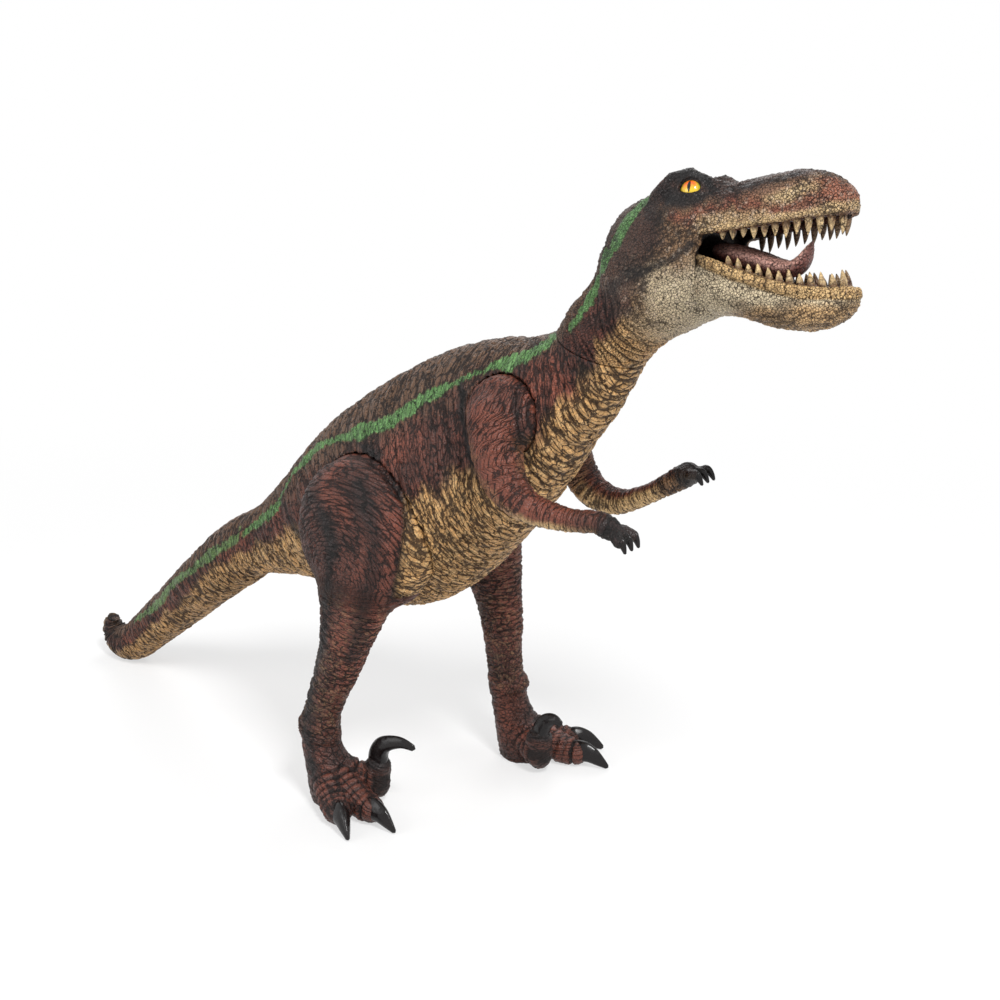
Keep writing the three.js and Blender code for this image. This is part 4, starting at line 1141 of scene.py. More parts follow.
# %% Head skin
HEAD_STEP = 0.9
points, quads, out = skin(head_form, "head_shell", HEAD_STEP)
h = np.stack(in_head(*points.T), -1)
h_both = np.abs(h * [0, 1, 0]) + h * [1, 0, 1]
inner = ramp(1.2 - mouth_form(*h.T), 0, 0.9)
skull = np.minimum(upright(SKULL_ROWS, *h.T, SKULL_SQUARE), upright(SNOUT_ROWS, *h.T, SNOUT_SQUARE))
brow_part = ramp(h[:, 0], 20, 30) * ramp(h[:, 2], 14, 24)
skull_part = np.maximum(ramp(7 - skull, -6, 6), brow_part)
q, section_height = body_measures(front_line, points)
stripe = body_path(front_line, head_form, STRIPE_ON_NECK)
moved, neck_wash, neck_paint, both = body_skin(q, section_height, points, out, stripe)
scale, bead, tone = creased(h, (3.6, 3.0, 2.6), 1.2, 1.0)
fine, _, fleck = creased(h + 50, (1.7, 1.7, 1.7), 0.8, 0.4)
patchy = 0.35 + 0.65 * ramp(clouds(h, 13), -0.5, 0.5)
relief = 0.3 * bead - 0.55 * scale * patchy - 0.2 * fine + 0.3 * clouds(h + 9, 8, 2)
lids = ramp(np.linalg.norm(h_both - EYE, axis=-1), 9.2, 12)
relief = relief * (0.25 + 0.75 * lids) * (1 - inner)
points = points + ((moved - points) * out).sum(-1, keepdims=True) * out * (1 - skull_part[:, None])
points = points + (skull_part * relief)[:, None] * out
wash = (1 - skull_part) * neck_wash + skull_part * np.maximum(0.9 * scale * patchy, 0.5 * fine)
print("points on the skull rather than the neck:", int((skull_part > 0.5).sum()))

# %% Head paint
HEAD_MARKS = [
    (RUST, 0.8, 7, 3, [(700, 210, 3), (725, 207, 4), (750, 206, 4.5), (780, 207, 4), (806, 203, 3.6)]),
    (tint(150, 92, 70), 0.85, 6, 2, [(812, 192, 4.5), (835, 186, 6.5), (852, 193, 5)]),
    (RUST, 0.75, 5, 2, [(672, 216, 2.6), (686, 220, 3), (698, 216, 2.4)]),
    (SAND, 0.85, 6, 2, [(768, 199, 2.2), (786, 195, 3.6), (802, 188, 3.8), (814, 188, 2.2)]),
    (SAND, 0.6, 6, 3, [(702, 222, 2.4), (720, 217, 3), (740, 217, 3), (760, 215, 2.2)]),
    (tint(206, 176, 130), 0.9, 3, 1.2, [(700, 232, 1.4), (730, 226, 2.2), (760, 222, 2.2), (800, 214, 2.2),
                                        (830, 209, 2.4), (855, 205, 2.6)]),
    (SOOT_AND_SHADE, 0.92, 5, 2, [(658, 186, 3.6), (668, 196, 4), (684, 201, 3.6), (700, 198, 3.6), (716, 190, 3)]),
    (SOOT_AND_SHADE, 0.9, 5, 2, [(660, 182, 5), (672, 174, 4.4), (688, 172, 4.4), (702, 178, 4.2), (713, 187, 3)]),
    (SOOT_AND_SHADE, 0.6, 6, 3, [(650, 205, 5), (656, 216, 4), (668, 208, 4)]),
    (SOOT_AND_SHADE, 0.8, 4, 2, [(664, 182, 3), (674, 175, 3.4), (686, 172, 3.4), (698, 174, 3.4),
                       (709, 180, 3.4)]),
    (SOOT_AND_SHADE, 0.8, 5, 2, [(735, 188, 1.2), (752, 184, 2.4), (768, 181, 3), (782, 177, 3), (796, 174, 1.6)]),
    # This last mark darkens the fold behind the mouth corner: painted shade. The other near-black marks are
    # the figure's black paint.
    (SOOT_AND_SHADE, 0.85, 4, 1.5, [(690, 244, 2.4), (677, 255, 2.6), (664, 262, 2.6), (650, 269, 2.0), (636, 277, 1.6),
                          (624, 284, 1)]),
]
# Painted shade on the neck under the jaw.
THROAT_BANDS = (([(600, 300, 4), (612, 286, 5), (624, 276, 4), (640, 270, 3)], 8, 0.75),
                ([(596, 322, 5), (606, 312, 6), (616, 300, 4)], 8, 0.55))
ahead, height = h[:, 0], h[:, 2]
low = ramp(-height + 3 * clouds(h, 12), -4, 12)
paint = over(coat(tint(132, 102, 74), points), JAW_GREY, low)
crown = ramp(height - 8 * ramp(ahead, 66, 92) + 3 * clouds(h, 11), 20, 31)
nape = ramp(32 - ahead + 5 * clouds(h, 12), -6, 14) * ramp(height + 4 * clouds(h + 30, 9), -4, 10)
dark_top = np.maximum(crown, nape)
paint = over(paint, tint(62, 40, 34), 0.95 * dark_top)
behind = ramp(16 - ahead + 4 * clouds(h, 14), -6, 8) * ramp(height, -34, -20)
paint = over(paint, tint(74, 52, 42), 0.9 * behind)
snout = ramp(ahead + 4 * clouds(h, 12), 66, 86) * ramp(height, 34, 28)
paint = over(paint, tint(140, 104, 84), 0.7 * snout)
for colour, strength, edge, ragged, pixels in HEAD_MARKS:
    at = np.stack(in_head(*touched(pixels, head_form).T), -1)
    path = np.column_stack([np.abs(at * [0, 1, 0]) + at * [1, 0, 1], np.array(pixels)[:, 2]])
    paint = over(paint, colour, strength * mark(h_both, path, edge, ragged, 6))
paint = over(paint, tint(214, 196, 176), 0.3 * (fleck > 0.86) * (1 - dark_top))
paint = greened(paint, mark(both, stripe, 1.0, 1.1, 3.0), tone, fleck)
paint = blend(neck_paint, paint, skull_part[:, None])
paint = darkened(paint, both, front_line, head_form, THROAT_BANDS)
# Inside the mouth the skin is near black, painted shade in the throat and under the lips, with a pinkish
# palate.
palate = ramp(ahead, 50, 60) * ramp(height, 3, 9)
lining = over(coat(tint(26, 14, 12), points), tint(120, 78, 72), palate)
paint = paint + (lining - paint) * 0.97 * inner[:, None]
piece("head_skin", points, quads, "head", ["head_shell"], "skin", scaly_vinyl, wash=wash, paint=paint,
      flow=h)

# %% Jaw skin
JAW_STEP = 0.85
LIP_SCALE = 5.4
points, quads, out = skin(jaw_form, "lower_jaw", JAW_STEP)
h = np.stack(in_head(*points.T), -1)
away = np.abs(h[:, 1])
below_lip = lower_lip(h[:, 0]) - h[:, 2]
half = half_at(JAW_ROWS, h[:, 0]) * blunt(h[:, 0], 124)
inner = ramp(half - 3.4 - away, 0, 1.2) * ramp(lower_lip(h[:, 0]) + 2 - h[:, 2], 0, 1)
inner = inner * ramp(out[:, 2], -0.4, 0.0)
edge = 6.6 + 0.5 * clouds(h, 7, 2)
band = ramp(below_lip, edge + 0.7, edge - 0.5) * ramp(out[:, 2], -0.75, -0.45) * (1 - inner)
scale, bead, tone = creased(h, (3.0, 2.6, 2.6), 1.1, 0.8)
fine, _, fleck = creased(h + 50, (1.6, 1.6, 1.6), 0.75, 0.4)
folds, _, _ = creased(h, (14, 9, 3.6), 1.5)
along_lip = h[:, 0] + 0.8 * (12 - away).clip(0) * ramp(h[:, 0], 108, 114) + 0.9 * clouds(h, 8, 2)
cell = np.abs(along_lip / LIP_SCALE % 1 - 0.5) * 2
between = ramp(cell, 0.74, 1.0)
middle = ramp(np.abs(below_lip - 3.1 - 0.4 * clouds(h + 7, 5, 2)), 1.9, 3.3)
under = ramp(-h[:, 2] + 2 * clouds(h, 10), 26, 33)
patchy = 0.5 + 0.5 * ramp(clouds(h, 12), -0.6, 0.4)
relief = (1 - band) * (0.22 * bead - 0.4 * scale * patchy - 0.12 * fine - 0.6 * under * folds * patchy)
relief += band * (0.7 - 0.9 * between - 0.8 * middle - 0.25 * fine)
wash = (1 - band) * np.maximum(np.maximum(0.72 * scale * patchy, 0.45 * fine), 0.85 * under * folds)
wash += band * np.maximum(np.maximum(0.9 * between, 0.75 * middle), 0.5 * fine)
points = points + (relief * (1 - inner))[:, None] * out
print("lip scales along the jaw:", round((118 - MOUTH_CORNER) / LIP_SCALE))

# %% Jaw paint
paint = over(coat(JAW_GREY, points), OCHRE, 0.75 * under)
paint = over(paint, tint(112, 90, 66), 0.6 * ramp(clouds(h, 9), 0.1, 0.8) * (1 - band))
paint = over(paint, tint(206, 168, 112), 0.85 * band)
paint = over(paint, tint(150, 112, 70), 0.5 * band * ramp(tone, 0.5, 1))
# Painted shade darkens the jaw near the mouth corner, under the cheek.
corner = ramp(54 - h[:, 0] + 3 * clouds(h, 8), 0, 9) * ramp(below_lip, 16, 5)
paint = over(paint, SOOT_AND_SHADE, 0.7 * corner)
paint = over(paint, tint(156, 112, 104), 0.9 * inner)
piece("jaw_skin", points, quads, "head", ["lower_jaw"], "jaw", scaly_vinyl, wash=wash, paint=paint, flow=h)

# %% [markdown]
# ## Swept pieces
# Teeth, gums, tongue and claws are each a ring carried along a short path. A ring square to the path
# keeps its roundness where the path bends, which a plain scaled cone would not.

# %% Swept rings
def swept(rows, sides, side=None, up=None, flat=1.0, keel=0.0):
    """A closed surface round a path of points with radii. One direction to the side or upwards is
    given, and the other is the cross product with the path's own. The height is the radius times flat,
    and a keel narrows the ring towards its top. Gives points, quads, triangles, and for each point its
    share of the way along and its height in its ring, from -1 to 1."""
    at = rows[:, :3]
    way = np.gradient(at, axis=0)
    way /= np.linalg.norm(way, axis=-1, keepdims=True)
    if up is None:
        up = np.cross(way, side)
    else:
        up = np.cross(way, np.cross(up, way))
    up /= np.linalg.norm(up, axis=-1, keepdims=True)
    side = np.cross(up, way)
    t = np.linspace(0, 2 * np.pi, sides, endpoint=False)
    wide = rows[:, 3, None] * np.cos(t) * (1 - keel * (1 + np.sin(t)) / 2)
    high = rows[:, 3, None] * np.sin(t) * flat
    points = at[:, None] + wide[..., None] * side[:, None] + high[..., None] * up[:, None]
    ends = np.stack([at[0] - 0.3 * rows[0, 3] * way[0], at[-1] + 0.6 * rows[-1, 3] * way[-1]])
    points = np.vstack([points.reshape(-1, 3), ends])
    share = np.concatenate([np.repeat(np.linspace(0, 1, len(rows)), sides), [0, 1]])
    height = np.concatenate([np.tile(np.sin(t), len(rows)), [0, 0]])
    return (points, *facing_out(points, *wrapped(len(rows), sides)), share, height)


def together(shapes):
    """Several closed surfaces as one mesh: the points are stacked and the face numbers shifted."""
    starts = np.cumsum([0] + [len(shape[0]) for shape in shapes[:-1]])
    points = np.vstack([shape[0] for shape in shapes])
    quads = np.vstack([shape[1] + start for shape, start in zip(shapes, starts)])
    triangles = np.vstack([shape[2] + start for shape, start in zip(shapes, starts)])
    return points, quads, triangles


rod = swept(np.array([[0, 0, 0, 1.0], [1, 0, 0, 1.0]]), 8, up=[0, 0, 1.0])
print("points of a rod of two rings of eight:", len(rod[0]))

# %% [markdown]
# ## Teeth and gums
# Each row of teeth is one moulding, a gum strip with twelve teeth to a side. A tooth is a cone bent a
# little backwards, cream with brown shading at its root; the far side's teeth get painted shade.

# %% Sizes of the teeth
TEETH_PER_SIDE = 12
UPPER = {"rows": SNOUT_ROWS, "lip": upper_lip, "start": 56, "end": 121, "way": -1}
LOWER = {"rows": JAW_ROWS, "lip": lower_lip, "start": 58, "end": 120, "way": 1}
TOOTH_PROFILE = np.array([[-0.12, 1.15], [0, 1.1], [0.12, 1.0], [0.35, 0.88], [0.6, 0.64], [0.82, 0.36],
                          [0.96, 0.12]])
TOOTH_R = 2.05
TOOTH_LEAN = 0.05
TOOTH_SIDES = 10
ARCH_INSET = 4.0
GUM_R = 2.1
GUM_BROWN = tint(74, 44, 36)
ROOT_BROWN = tint(84, 50, 32)
TOOTH_CREAM = tint(206, 178, 132)
FAR_TOOTH_PAINTED_SHADE = tint(78, 50, 38)
print("teeth:", 4 * TEETH_PER_SIDE)


# %% Rows of teeth
def tooth_arch(jaw):
    """Half of the arch that the teeth stand on, closing in front by a sixth power, as offsets ahead
    and to the side and the length along it."""
    reach = 1 - np.linspace(1, 0, 60) ** 2
    x = jaw["start"] + (jaw["end"] - 3.4 - jaw["start"]) * reach
    y = (half_at(jaw["rows"], x) - ARCH_INSET) * np.sqrt(1 - reach**6)
    return x, y, np.append(0, np.cumsum(np.hypot(np.diff(x), np.diff(y))))


def tooth(jaw, i, s, arch):
    """One tooth, whose ring at each height of the profile has the profile's radius. Its length comes
    from its place in the row, and its tip leans back and inwards by the square of the height."""
    x, y, along = arch
    share = (i + 0.5) / TEETH_PER_SIDE
    at_x, at_y = (np.interp(share * along[-1], along, v) for v in (x, y))
    full = (8.6 + 1.2 * share if jaw["way"] < 0 else 5.0 + 3.6 * share) + 0.9 * np.sin(2.4 * i)
    long = full * (np.interp(i, [0, 7], [0.5, 0.9]) if s < 0 and jaw["way"] < 0 else 1)
    height = TOOTH_PROFILE[:, 0] * long
    lean = TOOTH_LEAN * height**2 / long
    radius = TOOTH_R * TOOTH_PROFILE[:, 1] * (0.9 + 0.15 * share)
    level = jaw["lip"](at_x) + jaw["way"] * (height - 0.6)
    rows = np.column_stack([at_x - lean * 2, s * (at_y - lean), level, radius])
    shape = swept(rows, TOOTH_SIDES, side=[1.0, 0, 0])
    root = ramp(shape[3] + 0.3 * clouds(shape[0], 2.2, 2), 0.8, 0.2)
    colour = over(coat(TOOTH_CREAM, shape[0]), ROOT_BROWN, 0.9 * root)
    # Teeth on the far side are darkened: painted shade.
    return shape[:3], over(colour, FAR_TOOTH_PAINTED_SHADE, 0.75) if s > 0 else colour


def tooth_row(jaw):
    """Gum and teeth as one mesh, with their colours."""
    x, y, along = tooth_arch(jaw)
    gum_x, gum_y = np.concatenate([x, x[-2::-1]]), np.concatenate([y, -y[-2::-1]])
    gum_z = jaw["lip"](gum_x) - jaw["way"] * 1.8
    gum = np.column_stack([gum_x, gum_y, gum_z, np.full(len(gum_x), GUM_R)])
    shapes = [swept(gum, TOOTH_SIDES, up=[0, 0, 1.0])[:3]]
    colours = [coat(GUM_BROWN, shapes[0][0])]
    for i in range(TEETH_PER_SIDE):
        for s in SIDES.values():
            shape, colour = tooth(jaw, i, s, (x, y, along))
            shapes.append(shape)
            colours.append(colour)
    points, quads, triangles = together(shapes)
    return from_head(points), quads, triangles, np.vstack(colours)


enamel = painted_vinyl("painted teeth", 1.2, (4.0, 4.0, 4.0), 0.2)
for name, jaw in (("upper_teeth", UPPER), ("lower_teeth", LOWER)):
    points, quads, triangles, paint = tooth_row(jaw)
    wash = 0.6 * ramp(clouds(points, 1.8, 2), 0.1, 0.8)
    piece(name + "_painted", points, quads, "head", [name], "tooth", enamel, triangles, wash=wash,
          paint=paint, flow=points)

# %% [markdown]
# ## Tongue
# The tongue is a soft insert that arches over the jaw's floor and curls up at its tip. It has a
# shallow groove down its middle and small bumps. Its paint is mauve, with painted shade that makes its
# underside darker and pinker and its root near black.

# %% Tongue
TONGUE = through([[46, 0, 5, 9], [50, 0, 4, 9.5], [58, 0, 1.5, 10], [68, 0, -2.5, 10.2], [79, 0, -7, 9.4],
                  [87, 0, -8.5, 8.2], [92.5, 0, -5.5, 6.6], [96, 0, -0.5, 4], [98, 0, 3.5, 1.2]], 8)
points, quads, triangles, share, height = swept(TONGUE, 48, side=[0, 1.0, 0], flat=0.5)
out = turned_out(points, quads, triangles)
middle = np.exp(-((points[:, 1] / 1.6) ** 2)) * (height > 0)
bumps, bead, _ = creased(points, (1.7, 1.7, 1.7), 0.5, 0.5)
points = points + (0.22 * bead - 0.7 * middle)[:, None] * out
# The underside and sides are darker and pinker, and the root towards the throat near black: painted shade.
paint = over(coat(tint(172, 130, 118), points), tint(138, 92, 84), ramp(-height, -0.2, 0.7))
paint = over(paint, tint(64, 36, 34), 0.9 * ramp(share, 0.3, 0.02))
tongue_vinyl = painted_vinyl("painted tongue", 1.2, (2.4, 2.4, 2.4), 0.25)
piece("tongue_painted", from_head(points), quads, "head", ["tongue"], "tongue", tongue_vinyl, triangles,
      wash=0.4 * bumps + 0.5 * middle, paint=paint, flow=points)

# %% [markdown]
# ## Eyes and lids
# An eye is a glossy ball, painted with an amber iris and a slit before it is set in its socket. The
# pattern follows the ball, so each point carries its offset ahead and upwards, and the material turns
# those into colour at any sharpness. The lids are a ring with an almond opening laid over the ball.

# %% Eyes
GAZE_SPAN = 16
BALL_RINGS = 40
BALL_SIDES = 64


def eye_ball(s):
    """A ball as rings round the gaze, and each point's offset ahead and up, as shares of 16 mm."""
    polar = np.linspace(0.03, np.pi - 0.03, BALL_RINGS)[:, None]
    around = np.linspace(0, 2 * np.pi, BALL_SIDES, endpoint=False)
    ahead = (np.sin(polar) * np.cos(around)).ravel()
    up = (np.sin(polar) * np.sin(around)).ravel()
    out = np.repeat(np.cos(polar.ravel()), BALL_SIDES)
    ahead, up, out = (np.append(v, [0, 0]) for v in (ahead, up, out))
    out[-2:] = 1, -1
    points = EYE + EYE_R * (ahead[:, None] * EYE_AHEAD + up[:, None] * EYE_UP + out[:, None] * LOOK)
    shares = [ahead * EYE_R / GAZE_SPAN + 0.5, up * EYE_R / GAZE_SPAN + 0.5, out / 2 + 0.5]
    points = from_head(points * [1, s, 1])
    return (points, *facing_out(points, *wrapped(BALL_RINGS, BALL_SIDES)), np.stack(shares, -1))


def iris_colours(tree, offset, height):
    """Amber iris: orange round the slit, then gold and green rings frayed by noise, yellow below."""
    radius = node(tree, "ShaderNodeVectorMath", {0: offset}, operation="LENGTH").outputs["Value"]
    veins = node(tree, "ShaderNodeTexNoise", {"Vector": offset, "Scale": 0.9, "Detail": 4.0}).outputs["Fac"]
    frayed = reckoned(tree, "MULTIPLY_ADD", veins, 1.6, radius)
    rings = node(tree, "ShaderNodeValToRGB", {"Fac": graded(tree, frayed, 0.0, 6.4)})
    stops = rings.color_ramp.elements
    stops[0].position, stops[0].color = 0.3, opaque(tint(236, 120, 38))
    stops[1].position, stops[1].color = 0.98, opaque(tint(24, 20, 10))
    between = [(0.55, tint(228, 88, 34)), (0.76, tint(196, 150, 40)), (0.88, tint(130, 140, 44))]
    for position, colour in between:
        stops.new(position).color = opaque(colour)
    lower = graded(tree, height, 1.2, -2.2)
    yellow = opaque(tint(228, 190, 48))
    return mixed_colour(tree, lower, rings.outputs["Color"], yellow, blend_type="LIGHTEN")


def eye_material():
    """The iris with a slit, whose half width shrinks by the square of the height."""
    material, tree, shader = new_material("glossy eye")
    gaze = node(tree, "ShaderNodeAttribute", attribute_name="gaze").outputs["Vector"]
    middled = reckoned_3d(tree, "SUBTRACT", gaze, (0.5, 0.5, 0))
    offset = reckoned_3d(tree, "MULTIPLY", middled, (GAZE_SPAN, GAZE_SPAN, 0))
    split = node(tree, "ShaderNodeSeparateXYZ", {0: offset}).outputs
    iris = iris_colours(tree, offset, split["Y"])
    across = reckoned(tree, "ABSOLUTE", split["X"])
    tall = reckoned(tree, "POWER", split["Y"], 2.0)
    edge = reckoned(tree, "MULTIPLY_ADD", tall, 0.07, across)
    colour = mixed_colour(tree, graded(tree, edge, 0.8, 1.05), opaque(tint(10, 7, 6)), iris)
    tree.links.new(colour, shader.inputs["Base Color"])
    shader.inputs["Roughness"].default_value = 0.12
    return material


glossy_eye = eye_material()
print("material of the eyes:", glossy_eye.name)

# %% Lids
LID_SIDES = 72
LID_LONG = 5.6
LID_TALL = 4.1
LID_PROFILE = np.array([[0.9, 6.75], [0.97, 7.25], [1.06, 7.6], [1.2, 8.0], [1.36, 8.9], [1.5, 8.6],
                        [1.46, 7.6], [1.2, 6.9]])


def lid_ring(s):
    """A ring round the almond opening: rows are offsets from it, each point as high over the gaze's
    plane as a ball of that row's radius is."""
    around = np.linspace(0, 2 * np.pi, LID_SIDES, endpoint=False)
    pointed = 1 + 0.1 * np.abs(np.cos(around)) ** 6
    ahead = LID_PROFILE[:, :1] * LID_LONG * np.cos(around) * pointed
    up = LID_PROFILE[:, :1] * LID_TALL * np.sin(around) - 0.4 * np.cos(around)
    out = np.sqrt(np.maximum(LID_PROFILE[:, 1:] ** 2 - ahead**2 - up**2, 0.4))
    points = EYE + (ahead[..., None] * EYE_AHEAD + up[..., None] * EYE_UP + out[..., None] * LOOK)
    points = from_head(points.reshape(-1, 3) * [1, s, 1])
    at = np.arange(len(LID_PROFILE) * LID_SIDES).reshape(len(LID_PROFILE), LID_SIDES)
    beside, above = np.roll(at, -1, 1), np.roll(at, -1, 0)
    quads = np.stack([at, beside, np.roll(beside, -1, 0), above], -1).reshape(-1, 4)
    return (points, *facing_out(points, quads, np.zeros((0, 3), int)))


for side_name, s in SIDES.items():
    points, quads, triangles, gaze = eye_ball(s)
    piece(f"{side_name}_eye_painted", points, quads, "head", [f"{side_name}_eye"], "eye", glossy_eye,
          triangles, gaze=gaze)
    points, quads, triangles = lid_ring(s)
    paint = over(coat(SOOT_AND_SHADE, points), tint(70, 52, 44), 0.5 * ramp(clouds(points, 3), 0, 0.8))
    piece(f"{side_name}_eyelids", points, quads, "head", [], "skin", scaly_vinyl, triangles,
          wash=0.2 + 0 * points[:, 0], paint=paint, flow=points)

# %% [markdown]
# ## Legs
# A leg's skin is a stack of level ellipses in a straight leg, a domed round haunch that turns in its
# pocket, a foot with two toes on the ground and one held up. The stride is taken out first, so both
# legs share one set of measures, and creases and paint are laid out in a leg that stands straight.
# Each form could also be a chain of metaballs, but those can't be flat or cut square at a joint.

# %% Sizes of the legs
LEG_SWING = {"right": np.radians(-10), "left": np.radians(14.5)}
FOOT_TURN = {"right": 19, "left": 26}
FOOT_Y = 62.0
ANKLE = 46.0
TOE_R = 10.5
SICKLE_TOP = {"right": 46.0, "left": 41.0}
LEG_ROWS = through([[-2, 50, 196, 34, 15], [4, 52, 172, 35, 18.5], [7, 54, 152, 29.5, 19],
                    [9, 56, 134, 23, 17.5], [8, 58, 113, 17.5, 14.5], [5, 60, 90, 14.5, 12.5],
                    [0, 61, 68, 12.5, 11.2], [-2.5, FOOT_Y, 52, 11.8, 11],
                    [-2, FOOT_Y, 44, 12.3, 11.4]])[::-1]
FOOT_ROWS = through([[-2.5, FOOT_Y, 52, 11.6, 10.8], [-1, FOOT_Y, 38, 13, 12], [5, FOOT_Y, 24, 16, 14],
                     [9, FOOT_Y, 11, 17.5, 15], [9, FOOT_Y, -1, 15.5, 13]])[::-1]


def straight_leg(side, x, y, z):
    """A point's measures in the straight leg: ahead of the hip, outwards, and height."""
    c, s = np.cos(LEG_SWING[side]), np.sin(LEG_SWING[side])
    ahead, above = x - HIP[0], z - HIP[2]
    return ahead * c + above * s, SIDES[side] * y, HIP[2] - ahead * s + above * c


def foot_point(side, ahead, aside, z, heading):
    """A place on the foot: ahead of the ankle and to its outer side, along a toe's heading."""
    s = SIDES[side]
    way = np.radians(s * (FOOT_TURN[side] + heading))
    ankle_x = HIP[0] + (HIP[2] - ANKLE) * np.sin(LEG_SWING[side])
    return [ankle_x + ahead * np.cos(way) - s * aside * np.sin(way),
            s * FOOT_Y + ahead * np.sin(way) + s * aside * np.cos(way), z]


def foot_path(side, places, heading=0.0, steps=3):
    """A path on the foot: places are ahead, aside, height and radius."""
    return through([[*foot_point(side, a, b, z, heading), r] for a, b, z, r in places], steps)


TOES = {"outer": (14, 43), "inner": (-11, 50)}
RAISED_TOE = [(8, -6, 24, 9), (17, -17, 16, 9.5), (24, -25, 15, 9.5)]
COLLAR = [(24, -25, 12, 9), (24, -26, 23, 8.8)]
RAISED_END = (24, -26)


def toe_paths(side):
    """Paths of the two ground toes, from the instep to the root of the claw, and of the raised one."""
    paths = []
    for heading, long in TOES.values():
        instep = (4, 0, 22, TOE_R)
        knuckle = (long * 0.45, 0, 14, TOE_R - 0.4)
        pad = (long * 0.76, 0, TOE_R - 1.4, TOE_R - 1.2)
        root = (long - 3.5, 0, TOE_R - 2, TOE_R - 2.4)
        paths.append(foot_path(side, [instep, knuckle, pad, root], heading))
    return [*paths, foot_path(side, RAISED_TOE)]


print("leg rows:", LEG_ROWS.shape, "foot rows:", FOOT_ROWS.shape)


# %% Leg forms
def stacked(rows, x, y, z):
    """Distance to a stack of level ellipses, measured along the ray from the stack's middle."""
    at = [np.interp(z, rows[:, 2], rows[:, k]) for k in (0, 1, 3, 4)]
    share = np.hypot((x - at[0]) / at[2], (y - at[1]) / at[3])
    reach = np.hypot(x - at[0], y - at[1])
    form = reach - reach / np.maximum(share, 1e-6)
    return np.maximum(form, np.maximum(z - rows[-1, 2], rows[0, 2] - z))


def dome(height, away, radius, thick):
    """Distance to a round dome on a joint: a squarish ellipse of the third power."""
    share = ((away / radius) ** 3 + np.abs(height / thick) ** 3) ** (1 / 3)
    reach = np.hypot(away, height)
    return np.maximum(reach - reach / np.maximum(share, 1e-6), away - radius)


def leg_form(side):
    """Shank, foot, haunch and toes blended, cut at the joint's plane and at the ground."""

    def form(x, y, z):
        ax, ay, az = straight_leg(side, x, y, z)
        shank = stacked(LEG_ROWS, ax, ay, az)
        foot_x = (x - HIP[0] - (HIP[2] - ANKLE) * np.sin(LEG_SWING[side])) / np.cos(LEG_SWING[side])
        shape = join(shank, stacked(FOOT_ROWS, foot_x, ay, z), 7)
        haunch = dome(ay - HIP[1], np.hypot(x - HIP[0], z - HIP[2]), HAUNCH_R, HAUNCH_THICK)
        shape = join(shape, haunch, 7)
        for path in toe_paths(side):
            shape = join(shape, tube(x, y, z, path), 1.8)
        shape = join(shape, tube(x, y, z, foot_path(side, COLLAR, steps=1)), 2.5)
        shape = np.maximum(shape, HIP[1] + GAP / 2 - ay)
        return cut(shape, z, 1.5)

    return form


haunch_middle = (HIP[0], -HIP[1] - HAUNCH_THICK / 2, HIP[2])
print("distance in the middle of the right haunch, mm:", leg_form("right")(*haunch_middle).round(1))

# %% [markdown]
# ## The legs' skin
# On the haunch the creases are arcs round the knee, on the shank they are level rings, and each toe
# has knuckle rings of its own. Small scales lie between them. Soot is sprayed down the back of the
# leg and down its middle, and the front edge stays a smooth reddish brown. The disc that turns in the
# trunk reaches further forward than the thigh does on the figure, so its front rim carries on the
# trunk's skin and paint, painted shade included, and a sunk line where the thigh ends is darkened with
# painted shade.

# %% Marks on the legs
LEG_STEP = 0.9
KNEE = (2.0, 150.0)
ARC_RADIUS = 34
RING_RADIUS = 26
KNUCKLE_APART = 5.4
THIGH_EDGE = np.array([[150, 60], [152, 39], [174, 41.7], [188, 41], [201, 38.7], [211, 33], [218, 24],
                       [224, 11.6], [226, -6]])
REAR_SOOT = [(304, 473, 5), (314, 498, 5), (328, 527, 6), (331, 553, 6), (328, 576, 5.5), (324, 630, 5),
             (312, 680, 4.5), (306, 715, 4.5), (308, 745, 5), (314, 775, 5)]
MIDDLE_SOOT = [(356, 486, 6), (370, 515, 6.5), (376, 538, 6), (371, 568, 6), (365, 600, 5.5),
               (358, 630, 4.5), (350, 660, 3.5)]


def leg_path(pixels):
    """A mark's path on the right leg, in the straight leg's measures."""
    at = straight_leg("right", *touched(pixels, leg_form("right")).T)
    return np.column_stack([*at, np.array(pixels)[:, 2]])


def trunk_layers(points, out, bands):
    """The trunk's skin carried on over these points: their measures, where they move, their wash and
    their paint."""
    q, height = body_measures(front_line, points)
    moved, wash, paint, both = body_skin(q, height, points, out, trunk_stripe)
    return slanted(q), moved, wash, darkened(paint, both, front_line, trunk_form, bands)


rear_soot = leg_path(REAR_SOOT)
middle_soot = leg_path(MIDDLE_SOOT)
print("marks on the legs:", len(rear_soot) + len(middle_soot), "places")


# %% Creases of the legs
def knuckle_rings(side_name, points):
    """How much a point is on a toe, and the wave of the rings round it, from 0 on a knuckle to 1
    between two."""
    near_toe = np.full(len(points), 1e9)
    knuckle = np.zeros(len(points))
    for path in toe_paths(side_name):
        away, along = along_tube(points, path)
        knuckle = np.where(away < near_toe, along, knuckle)
        near_toe = np.minimum(near_toe, away)
    toe = ramp(near_toe, 2.5, 0.5) * ramp(knuckle, 4, 9)
    return toe, np.abs((knuckle / KNUCKLE_APART + 0.1 * clouds(points, 9)) % 1 - 0.5) * 2


def leg_measures(x, y, z):
    """Two layouts for creases: arcs round the knee, as distance, angle and offset aside, and rings
    round the shank, as height and angle."""
    angle = ARC_RADIUS * np.arctan2(z - KNEE[1], x - KNEE[0])
    arcs = np.stack([np.hypot(x - KNEE[0], z - KNEE[1]), angle, y], -1)
    return arcs, np.stack([z + 0.2 * x, RING_RADIUS * np.arctan2(y - 56, x - 4), 0 * z], -1)


